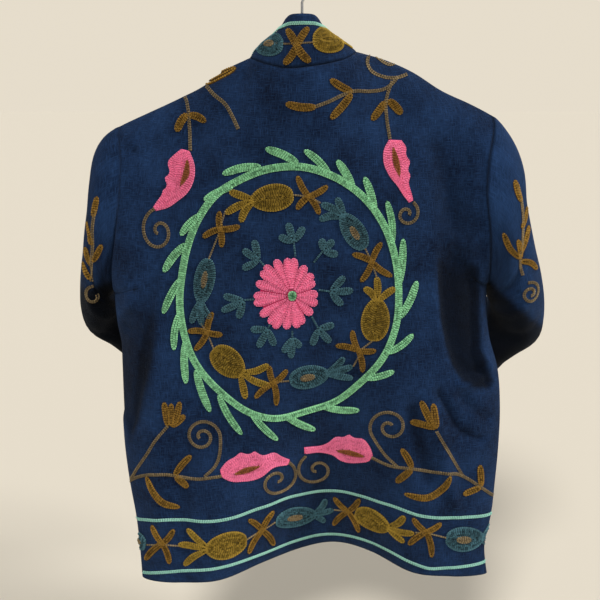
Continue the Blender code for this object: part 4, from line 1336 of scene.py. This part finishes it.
def makeDaisy():
    for root, tips, foot in daisy["sprigs"]:
        stem("back", (foot, root), "sprig")
        for tip in tips:
            leaf("back", "teal", (root, between(root, tip, drop=0.8), tip), daisy["sprigWidth"], "finger",
                 (1.0, 0.55), 0.1)
    (ovalX, ovalZ), (wide, high) = daisy["oval"]
    turn = np.linspace(0, 2 * np.pi, 41)
    share = daisy["groundShare"]
    rim = np.stack((ovalX + share * wide * np.cos(turn), ovalZ + share * high * np.sin(turn)), -1)
    middle = np.array(daisy["middle"])
    shares = np.linspace(0, 1, 9)
    disc = middle + (rim - middle)[:, None, :] * shares[None, :, None]
    # the dark pink ground is painted shadow between the petals
    addGround("back", "pink", disc, high=0.6, tone=0.0)
    for k in range(daisy["petals"]):
        angle = math.radians(360 * (k + daisy["turnSway"] * math.sin(2.1 * k)) / daisy["petals"])
        tip = (ovalX + (wide + daisy["reachSway"] * math.sin(4.7 * k)) * math.cos(angle),
               ovalZ + (high + daisy["reachSway"] * math.sin(3.7 * k)) * math.sin(angle))
        root = between(middle, tip, daisy["petalRoot"])
        leaf("back", "pink", (root, between(root, tip), tip), daisy["petalWidth"], "petal", (0.8, 1.0), 0.35)
    size = daisy["middleSize"]
    spine = smoothLine(((middle[0] - size, middle[1]), middle, (middle[0] + size, middle[1])), step=1.5)
    half = size * daisy["middleFullness"] * profile("oval", np.linspace(0, 1, len(spine)))
    fillShape("back", "mint", spine, half, half, tones=(0.9, 0.3), rowWidth=2.2, lift=2.2)


# sprays, sewn in this order: vines (width of a row, points or a curl), leaves (width, points), tulips (start,
# tip and width of each finger) and scalloped leaves (scalloped side, points, half widths, scallops, vein)
sprays = {
    "back": (
        # left shoulder
        (plainLeaf, 9, ((-120, -152), (-100, -142), (-79, -132))),
        (vine, 2.3, ((-130, -148), (-119, -152), (-106, -164), (-92, -175), (-84, -188), (-76, -204))),
        (vine, 2.1, ((-150, -161), (-142, -168), (-138, -180), (-136, -203), (-135, -230))),
        (plainLeaf, 10, ((-138, -186), (-146, -195), (-152, -208))),
        (plainLeaf, 9, ((-138, -188), (-128, -189), (-115, -196))),
        (scallopedLeaf, -1,
         ((-141, -229), (-144, -243), (-145, -258), (-150, -272), (-161, -286), (-179, -299)),
         ((0, 5), (0.12, 12.5), (0.3, 15.5), (0.5, 14.5), (0.68, 10), (0.85, 7.5), (1, 3)),
         ((0.2, 0.06, 3.5), (0.5, 0.06, 4.5), (0.72, 0.05, 2.5)), ((-138, -240), (-139, -256), (-147, -272))),
        (vine, 2.0, curl((-174, -326), 28, 102, 500, 3, 0.82)),
        # right shoulder
        (vine, 2.1, ((14, -178), (33, -171), (48, -164), (60, -160), (81, -160), (99, -157), (108, -151),
                     (115, -143))),
        (plainLeaf, 9.5, ((17, -178), (-2, -178), (-20, -174))),
        (plainLeaf, 9, ((60, -161), (46, -155), (32, -146))),
        (plainLeaf, 9.5, ((59, -162), (48, -176), (33, -192))),
        (vine, 2.1, ((127, -140), (115, -144), (93, -142), (82, -136), (78, -127), (81, -117))),
        (vine, 2.1, ((90, -119), (98, -126), (107, -129), (114, -126))),
        (vine, 2.1, ((108, -148), (103, -160), (100, -172), (101, -191), (105, -216))),
        (plainLeaf, 9.5, ((100, -171), (92, -182), (82, -194))),
        (plainLeaf, 10.5, ((102, -170), (111, -177), (120, -187))),
        (scallopedLeaf, 1, ((112, -217), (111, -235), (115, -252), (122, -270), (132, -290)),
         ((0, 8), (0.14, 13), (0.3, 14.5), (0.48, 12.5), (0.7, 7), (0.88, 5), (1, 3)),
         ((0.1, 0.06, 2.5), (0.4, 0.07, 3.5), (0.62, 0.06, 3.5)), ((108, -225), (112, -243), (117, -261))),
        (vine, 2.0, curl((127, -305), 16, 62, -450, 3)),
        # lower left
        (vine, 2.1, ((-229, -662), (-218, -650), (-202, -641), (-182, -637), (-143, -644), (-103, -641))),
        (vine, 2.0, ((-224, -655), (-213, -635), (-199, -613), (-186, -592), (-170, -573))),
        (tulip, ((-170, -574), (-174, -541), 8.5), ((-166, -574), (-165, -543), 8),
         ((-162, -573), (-154, -541), 8.5), ((-166, -574), (-148, -559), 9)),
        (plainLeaf, 9, ((-164, -640), (-154, -626), (-141, -613))),
        (plainLeaf, 9.5, ((-163, -640), (-154, -649), (-146, -657))),
        (plainLeaf, 9.5, ((-200, -641), (-192, -660), (-179, -676), (-157, -684))),
        (vine, 2.1, [(-125, -641), (-111, -627)] + curl((-127, -588), 24, -14, 590, 4)),
        (scallopedLeaf, 1, ((-104, -637), (-80, -633), (-57, -630), (-40, -627), (-17, -633)),
         ((0, 5), (0.1, 13), (0.28, 18), (0.5, 18), (0.7, 11), (0.86, 7), (1, 4)),
         ((0.32, 0.06, 4), (0.54, 0.06, 4.5), (0.76, 0.06, 3.5)), ((-88, -639), (-72, -634), (-54, -629))),
        (vine, 2.1, curl((-33, -656), 28, 55, -490, 3)),
        # lower right
        (scallopedLeaf, -1, ((90, -625), (74, -618), (58, -616), (44, -615), (30, -617), (3, -618)),
         ((0, 5), (0.1, 14), (0.26, 19), (0.44, 18), (0.58, 11), (0.72, 6), (1, 5)),
         ((0.2, 0.05, 3), (0.37, 0.05, 4), (0.53, 0.05, 4)), ((83, -623), (63, -619), (45, -617))),
        (vine, 2.1, curl((20, -650), 28, 122, 490, 3)),
        (vine, 2.1, ((90, -623), (114, -632), (141, -632), (164, -637), (190, -637), (208, -644), (231, -660),
                     (256, -682))),
        (plainLeaf, 9, ((142, -632), (136, -619), (127, -605))),
        (plainLeaf, 9.5, ((142, -632), (132, -643), (122, -655))),
        (vine, 2.1, [(124, -632), (109, -619)] + curl((112, -577), 27, 226, -540, 4)),
        (vine, 2.0, ((208, -644), (196, -624), (184, -603), (170, -578))),
        (tulip, ((168, -575), (150, -540), 9.5), ((170, -575), (165, -543), 9),
         ((171, -573), (137, -570), 9.5)),
        (plainLeaf, 9.5, ((191, -639), (183, -657), (166, -670), (132, -669))),
        (plainLeaf, 9, ((233, -661), (232, -648), (230, -630))),
        (plainLeaf, 9, ((233, -661), (222, -664), (208, -669))),
    ),
    "sleeveLeft": (
        (vine, 2.0, ((-252, -300), (-256, -322), (-257, -345), (-260, -366), (-264, -392))),
        (plainLeaf, 7.5, ((-255, -310), (-252, -297), (-249, -284))),
        (plainLeaf, 7.5, ((-257, -345), (-262, -330), (-266, -316))),
        (plainLeaf, 7.5, ((-259, -366), (-253, -356), (-246, -343))),
        (plainLeaf, 7.5, ((-264, -390), (-270, -380), (-275, -367))),
        (plainLeaf, 7.5, ((-262, -372), (-267, -360), (-270, -348))),
        (vine, 2.0, curl((-264, -412), 14, 80, 300, 5, 0.8)),
    ),
    "sleeveRight": (
        (vine, 2.0, ((262, -270), (267, -290), (270, -312), (271, -336), (270, -364), (276, -384))),
        (plainLeaf, 7.5, ((267, -292), (262, -279), (258, -264))),
        (plainLeaf, 7.5, ((270, -362), (257, -350), (246, -328))),
        (plainLeaf, 7.5, ((271, -356), (278, -340), (283, -322))),
        (plainLeaf, 7.5, ((270, -366), (284, -368), (298, -380))),
        (plainLeaf, 7.5, ((268, -324), (275, -312), (278, -298))),
        (plainLeaf, 7.5, ((271, -364), (268, -348), (264, -336))),
        (vine, 2.0, curl((288, -408), 15, 110, -560, 3)),
    ),
}


def makeSprays():
    for name, spray in sprays.items():
        for sew, *shape in spray:
            sew(name, *shape)


# the hem band on the back: a pale line above and below a row of buds and stars
hemBand = {
    "lines": (
        ((-232, -716), (-210, -706), (-184, -700), (-151, -701), (-81, -699), (-53, -692), (-22, -688),
         (24, -686), (51, -684), (78, -687), (128, -692), (154, -697), (180, -700), (212, -700), (256, -703)),
        ((-226, -786), (-187, -776), (-114, -770), (-54, -770), (-23, -766), (25, -761), (53, -760),
         (80, -760), (125, -763), (150, -769), (169, -774), (189, -773), (215, -771), (252, -768)),
    ),
    "starWidth": 8.5,
    "stars": (
        ((-182, -734), ((-195, -708), (-166, -713), (-173, -763), (-207, -763))),
        ((-53, -729), ((-37, -701), (-71, -707), (-38, -762), (-72, -763))),
        ((63, -717), ((43, -695), (78, -692), (79, -750), (43, -745))),
        ((162, -720), ((144, -701), (182, -707), (171, -758), (140, -742))),
    ),
    "buds": (
        ("olive", (-73, -739), (-126, -741), ((-150, -713), (-162, -735), (-155, -765)), 40),
        ("teal", (-36, -720), (20, -727), ((33, -699), (44, -716), (33, -740)), 34),
        ("olive", (72, -716), (117, -726), ((135, -701), (148, -723), (136, -740)), 35),
        ("teal", (188, -729), (240, -735), ((252, -714), (256, -732), (250, -750)), 36),
        ("teal", (-204, -741), (-226, -737), ((-234, -722), (-236, -737), (-232, -752)), 26),
    ),
    "links": (((-204, -740), (-182, -735)), ((-182, -735), (-160, -737)), ((-74, -739), (-53, -729)),
              ((-53, -729), (-36, -721)), ((44, -717), (63, -717)), ((148, -722), (162, -721)),
              ((162, -721), (189, -729))),
}

# the same band on the fronts, from the opening outwards and from the hem up
frontBand = {
    "line": ((17, 6), (120, 2), (262, 0)),
    "lineHeights": (13, 88),
    "middle": 52,
    "stem": ((26, 4), (110, 0), (230, -2)),
    "stars": ((176, 26), (74, 24)),  # across, size
    "starTurns": (42, 128, 214, 318),
    "buds": (("teal", 202, 238, 30), ("olive", 100, 148, 37), ("teal", 20, 50, 26)),  # top, root, width
    "fingers": (0.55, 0.0, -0.55),
    "fingerReach": 0.45,
}


def makeFrontBands():
    for name, side, sign in (("frontLeft", "left", -1), ("frontRight", "right", 1)):
        hem = bodyForm["hemHeight"][side] * 1000
        middle = hem + frontBand["middle"]
        for high in frontBand["lineHeights"]:
            stem(name, [(sign * x, hem + rise + high) for x, rise in frontBand["line"]], "paleLine")
        stem(name, [(sign * x, middle + rise) for x, rise in frontBand["stem"]], "single")
        for across, size in frontBand["stars"]:
            centre = (sign * across, middle)
            tips = [polar(centre, turn, size + 2 * math.sin(turn)) for turn in frontBand["starTurns"]]
            star(name, centre, tips)
        for colour, top, root, wide in frontBand["buds"]:
            top, root = (sign * top, middle), (sign * root, middle + 1)
            tipX = root[0] + sign * frontBand["fingerReach"] * wide
            tips = [(tipX, middle + lift * wide) for lift in frontBand["fingers"]]
            bud(name, colour, top, root, tips, wide)


# the collar's band, in millimetres along the collar and up it
collarBand = {
    "lineDrop": 12,
    "stemHeight": 0.43,
    "middleStar": ((-6, 24), 26),  # across the back, not along the collar
    "endStars": (((-121.8, 23), 16), ((121.8, 23), 16)),
    "starTurns": (52, 128, 233, 310),
    "starWidth": 0.37,
    "buds": (
        ("teal", (-24, 25), (-84, 21), 31), ("olive", (13, 29), (74, 24), 34),
        ("olive", (-134, 23), (-160, 22), 22), ("teal", (134, 23), (160, 22), 22),
    ),
    "fingers": (0.5, 0.0, -0.5),
    "fingerReach": 0.45,
    "fingerWidth": 7.5,
}


def makeCollarBand():
    row = panels["collar"]["grid"][collarForm["rows"] // 2]
    inBack = row[:, 1] < 0
    along = panels["collar"]["paper"][0, :, 0]
    top = panels["collar"]["paper"][-1, :, 1]

    line = [(a, h - collarBand["lineDrop"]) for a, h in zip(along[2:-2:4], top[2:-2:4])]
    stem("collar", line, "paleLine", 2.2, 0.15)
    line = [(a, h * collarBand["stemHeight"]) for a, h in zip(along[3:-3:6], top[3:-3:6])]
    stem("collar", line, "single", 2.0)
    (across, high), size = collarBand["middleStar"]
    middle = (float(np.interp(across / 1000, row[inBack, 0], along[inBack])), high)
    for centre, size in ((middle, size), *collarBand["endStars"]):
        tips = [polar(centre, turn, size) for turn in collarBand["starTurns"]]
        star("collar", centre, tips, size * collarBand["starWidth"])
    for colour, top, root, wide in collarBand["buds"]:
        side = 1 if root[0] > top[0] else -1
        tipX = root[0] + side * collarBand["fingerReach"] * wide
        tips = [(tipX, root[1] + lift * wide) for lift in collarBand["fingers"]]
        bud("collar", colour, top, root, tips, wide, collarBand["fingerWidth"])


makeWreath()
sewRing(ring)
makeDaisy()
makeSprays()
for line in hemBand["lines"]:
    stem("back", line, "paleLine")
sewRing(hemBand)
makeFrontBands()
makeCollarBand()
print("embroidery drawn")


def unevenness(count, number):
    # between -0.5 and 0.5 for each link of a row, the same in each run
    return (np.sin(np.arange(count) * 12.9898 + number * 78.233) * 43758.5453) % 1 - 0.5


def linkParts(panel, rows, spread):
    parts = []
    for number, (points, tone, width, closed, lift) in enumerate(rows):
        line = points
        if closed:  # closed rows start at different places
            start = int(len(points) * (0.37 * number % 1))
            line = np.concatenate((points[start:], points[:start + 1]))
        run = runAlong(line)
        if run[-1] < stitchSize["shortestRow"]:
            continue
        sway = 1 + stitchSize["paceSway"] * math.sin(1.3 * number)
        count = max(1, int(round(run[-1] / (stitchSize["link"] * stitchSize["overlap"] * sway))))
        at = np.arange(count + 1) * run[-1] / count
        knots = np.stack((np.interp(at, run, line[:, 0]), np.interp(at, run, line[:, 1])), -1)
        spots, normals, found = layOn(panel, knots)
        both = found[1:] & found[:-1]
        if not both.any():
            continue
        middle, normal = (spots[1:] + spots[:-1]) / 2, normals[1:] + normals[:-1]
        way = spots[1:] - spots[:-1]
        length = np.linalg.norm(way, axis=1)
        both &= (length > 1e-5) & (length < stitchSize["longestStep"])
        middle = middle + normal / 2 * (stitchSize["groundLift"] + lift) / 1000
        slow = np.sin(np.arange(count) * 0.37 + number) * stitchSize["slowTone"]
        parts.append((
            middle[both],
            way[both] / length[both, None],
            normal[both] / np.linalg.norm(normal[both], axis=1)[:, None],
            (tone + slow + unevenness(count, number) * spread)[both],
            np.full(both.sum(), width / 1000),
            length[both] / stitchSize["overlap"],
        ))
    return [np.concatenate(part) for part in zip(*parts)]


# one leg of a chain link: along, across, half width and height as shares of the link, and its change of tone
# as painted light and shade, darker at the link's ends
legStations = (
    (-0.56, 0.16, 0.0, 0.22, -0.45), (-0.16, 0.27, 0.24, 0.95, 0.0),
    (0.24, 0.25, 0.23, 1.0, 0.12), (0.56, 0.05, 0.0, 0.4, -0.25),
)
legLightAndShade = (-0.35, 0.08, -0.3)  # painted shade at a leg's inner and outer foot, and a painted highlight on its crest


def linkFaces():
    # each leg has one corner at either end and two rings of three corners between them
    faces = []
    for base, leg in ((0, -1), (8, 1)):
        for k in range(3):
            n = (k + 1) % 3
            part = [[base, base + 1 + k, base + 1 + n],
                    [base + 1 + k, base + 4 + k, base + 4 + n, base + 1 + n],
                    [base + 4 + k, base + 7, base + 4 + n]]
            faces += part if leg > 0 else [face[::-1] for face in part]
    return faces


def buildLinks(name, panel, rows, colour):
    spread = stitchSize["calmTones"].get(colour, stitchSize["unevenTone"])
    places, ways, facings, tones, widths, steps = linkParts(panel, rows, spread)
    sides = np.cross(facings, ways)
    sides /= np.linalg.norm(sides, axis=1)[:, None]
    high = stitchSize["high"] / 1000 * widths / (stitchSize["rowWidth"] / 1000)
    inner, crest, outer = legLightAndShade
    verts, shades = [], []

    def corner(along, across, up, paintedShadeShift):
        verts.append(places + ways * (steps * along)[:, None] + sides * (widths * across)[:, None]
                     + facings * (high * up)[:, None])
        shades.append(np.clip(tones + paintedShadeShift, 0, 1))

    for leg in (-1, 1):
        for along, across, half, up, paintedShadeShift in legStations:
            if half == 0.0:
                corner(along, across * leg, up, paintedShadeShift)
                continue
            corner(along, (across - half) * leg, 0.0, paintedShadeShift + inner)
            corner(along, across * leg, up, paintedShadeShift + crest)
            corner(along, (across + half) * leg, 0.0, paintedShadeShift + outer)
    verts = np.stack(verts, 1)
    one, faces = linkFaces(), []
    for start in range(0, verts.shape[0] * verts.shape[1], verts.shape[1]):
        faces += [[number + start for number in face] for face in one]
    made = addMesh(name, verts.reshape(-1, 3).tolist(), faces, yarns[colour],
                   {"tone": np.stack(shades, 1).ravel()})
    return made


groundCells = {"keptShare": 0.45, "fewest": 4, "lift": 0.00002}


def buildGrounds(name, panel, grounds, colour):
    verts, faces, shades = [], [], []
    for grid, high, tone in grounds:
        rows, cols = grid.shape[:2]
        step = max(1, rows // max(groundCells["fewest"], int(rows * groundCells["keptShare"])))
        grid = grid[sorted(set(range(0, rows, step)) | {rows - 1})]
        rows = len(grid)
        spots, normals, found = layOn(panel, grid.reshape(-1, 2))
        dome = 1 - np.linspace(-1, 1, cols) ** 4
        rise = np.tile(dome, rows) * high / 1000 + groundCells["lift"]
        points = spots + normals * rise[:, None]
        quads = gridFaces(rows, cols, False, False)
        quads = quads[found[quads].all(axis=1)]
        if not len(quads):
            continue
        a, b, c = points[quads[:, 0]], points[quads[:, 1]], points[quads[:, 3]]
        wrong = np.sum(np.cross(b - a, c - a) * normals[quads[:, 0]], axis=1) < 0
        quads[wrong] = quads[wrong][:, ::-1]
        faces += (quads + len(verts)).tolist()
        verts += points.tolist()
        shades += [max(0.0, tone)] * len(points)
    made = addMesh(name, verts, faces, yarns[colour], {"tone": shades})
    return made


withPieces = {name: [] for name in panels}
linkCount = 0
for (panelName, colour), rows in sorted(rowsOf.items()):
    made = buildLinks(f"{panelName}_{colour}_stitches", panels[panelName], rows, colour)
    withPieces[panelName].append(made)
    linkCount += len(made.data.vertices) // 16
for (panelName, colour), grounds in sorted(groundsOf.items()):
    made = buildGrounds(f"{panelName}_{colour}_ground", panels[panelName], grounds, colour)
    withPieces[panelName].append(made)
print("embroidery laid on the cloth,", linkCount, "links")


def colourRamp(tree, share, dark, light, start=0.0, end=1.0):
    made = addNode(tree, "ShaderNodeValToRGB", Fac=share)
    for element, colour, place in zip(made.color_ramp.elements, (dark, light), (start, end)):
        element.color = (*colour, 1)
        element.position = place
    return made.outputs["Color"]


hangerLook = {
    "woodDark": "#8a5c33", "woodLight": "#c79a63", "woodGrain": (12, 160, 160), "woodRough": (0.35, 0.55),
    "steelDark": (0.42, 0.42, 0.43), "steelLight": (0.72, 0.72, 0.71), "steelRough": (0.2, 0.42),
}


def woodMaterial():
    made, tree, shader = newShader("hangerWood")
    place = placeOn(tree, "Object")
    stretch = addNode(tree, "ShaderNodeMapping", Vector=place, Scale=hangerLook["woodGrain"])
    grain = noise(tree, stretch.outputs["Vector"], 1.0, 5.0, distortion=0.8)
    shades = colourRamp(tree, grain, tint(hangerLook["woodDark"]), tint(hangerLook["woodLight"]), 0.3, 0.7)
    tree.links.new(shades, shader["Base Color"])
    tree.links.new(remap(tree, grain, *hangerLook["woodRough"]), shader["Roughness"])
    addRelief(tree, shader, grain, 0.25, 0.0005)
    return made


def steelMaterial():
    made, tree, shader = newShader("hookSteel", Metallic=1.0)
    marks = noise(tree, placeOn(tree, "Object"), 420.0, 3.0, 0.6)
    shades = colourRamp(tree, marks, hangerLook["steelDark"], hangerLook["steelLight"])
    tree.links.new(shades, shader["Base Color"])
    tree.links.new(remap(tree, marks, *hangerLook["steelRough"]), shader["Roughness"])
    return made


for nodeName, made in (("hanger_bar", woodMaterial()), ("hanger_hook", steelMaterial())):
    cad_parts[nodeName].material_slots[0].material = made
    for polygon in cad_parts[nodeName].data.polygons:
        polygon.use_smooth = True
print("hanger finished")

studio = {
    "floorHeight": -0.98,
    "floorSize": 60.0,
    "floorColour": (0.667, 0.605, 0.499),
    "floorRoughness": 0.95,
    "backdrop": (0.79, 0.72, 0.60),
    "ambient": (0.95, 0.97, 1.0),
    "ambientStrength": 0.22,
    # direction the light comes from, strength, width in degrees
    "lights": {
        "windowLight": ((-0.25, -0.95, 1.0), 2.55, 16),
        "sideLight": ((1.0, -0.35, 0.5), 2.3, 16),
        "frontLight": ((0.3, 1.0, 0.6), 0.6, 30),
    },
}


def makeFloor():
    floor = bpy.data.meshes.new("floor")
    size, low = studio["floorSize"], studio["floorHeight"]
    corners = [(-size, -size, low), (size, -size, low), (size, size, low), (-size, size, low)]
    floor.from_pydata(corners, [], [(0, 1, 2, 3)])
    finish = {"Base Color": (*studio["floorColour"], 1), "Specular IOR Level": 0.0}
    paint, tree, shader = newShader("paleFloor", Roughness=studio["floorRoughness"], **finish)
    floor.materials.append(paint)
    addToScene("floor", floor)


def makeLight():
    world = bpy.data.worlds.new("studio")
    bpy.context.scene.world = world
    world.use_nodes = True
    tree = world.node_tree
    sky = tree.nodes["Background"]
    sky.inputs["Color"].default_value = (*studio["ambient"], 1)
    sky.inputs["Strength"].default_value = studio["ambientStrength"]
    backdrop = addNode(tree, "ShaderNodeBackground", Color=(*studio["backdrop"], 1))
    seen = addNode(tree, "ShaderNodeLightPath")
    either = addNode(tree, "ShaderNodeMixShader", Fac=seen.outputs["Is Camera Ray"])
    tree.links.new(sky.outputs[0], either.inputs[1])
    tree.links.new(backdrop.outputs[0], either.inputs[2])
    tree.links.new(either.outputs[0], tree.nodes["World Output"].inputs["Surface"])
    for name, (place, strength, spread) in studio["lights"].items():
        data = bpy.data.lights.new(name, "SUN")
        data.energy = strength
        data.angle = math.radians(spread)
        lamp = addToScene(name, data)
        lamp.location = place
        lamp.rotation_euler = (-Vector(place)).to_track_quat("-Z", "Y").to_euler()
    bpy.context.scene.view_settings.view_transform = "Standard"


# the camera stands as for the photo, and looks down by 13 degrees
cameraStand = {
    "place": (-0.0025, -1.1375, -0.161),
    "tilt": 77,
    "focalPixels": 900,
    "photoWidth": 600,
    "sensor": 36,
    "clip": (0.05, 40),
}


def makeCamera():
    data = bpy.data.cameras.new("camera")
    camera = addToScene("camera", data)
    camera.location = cameraStand["place"]
    camera.rotation_euler = (math.radians(cameraStand["tilt"]), 0, 0)
    data.sensor_width = cameraStand["sensor"]
    data.lens = cameraStand["sensor"] * cameraStand["focalPixels"] / cameraStand["photoWidth"]
    data.clip_start, data.clip_end = cameraStand["clip"]
    bpy.context.scene.camera = camera


makeFloor()
makeLight()
makeCamera()
bpy.context.view_layer.update()
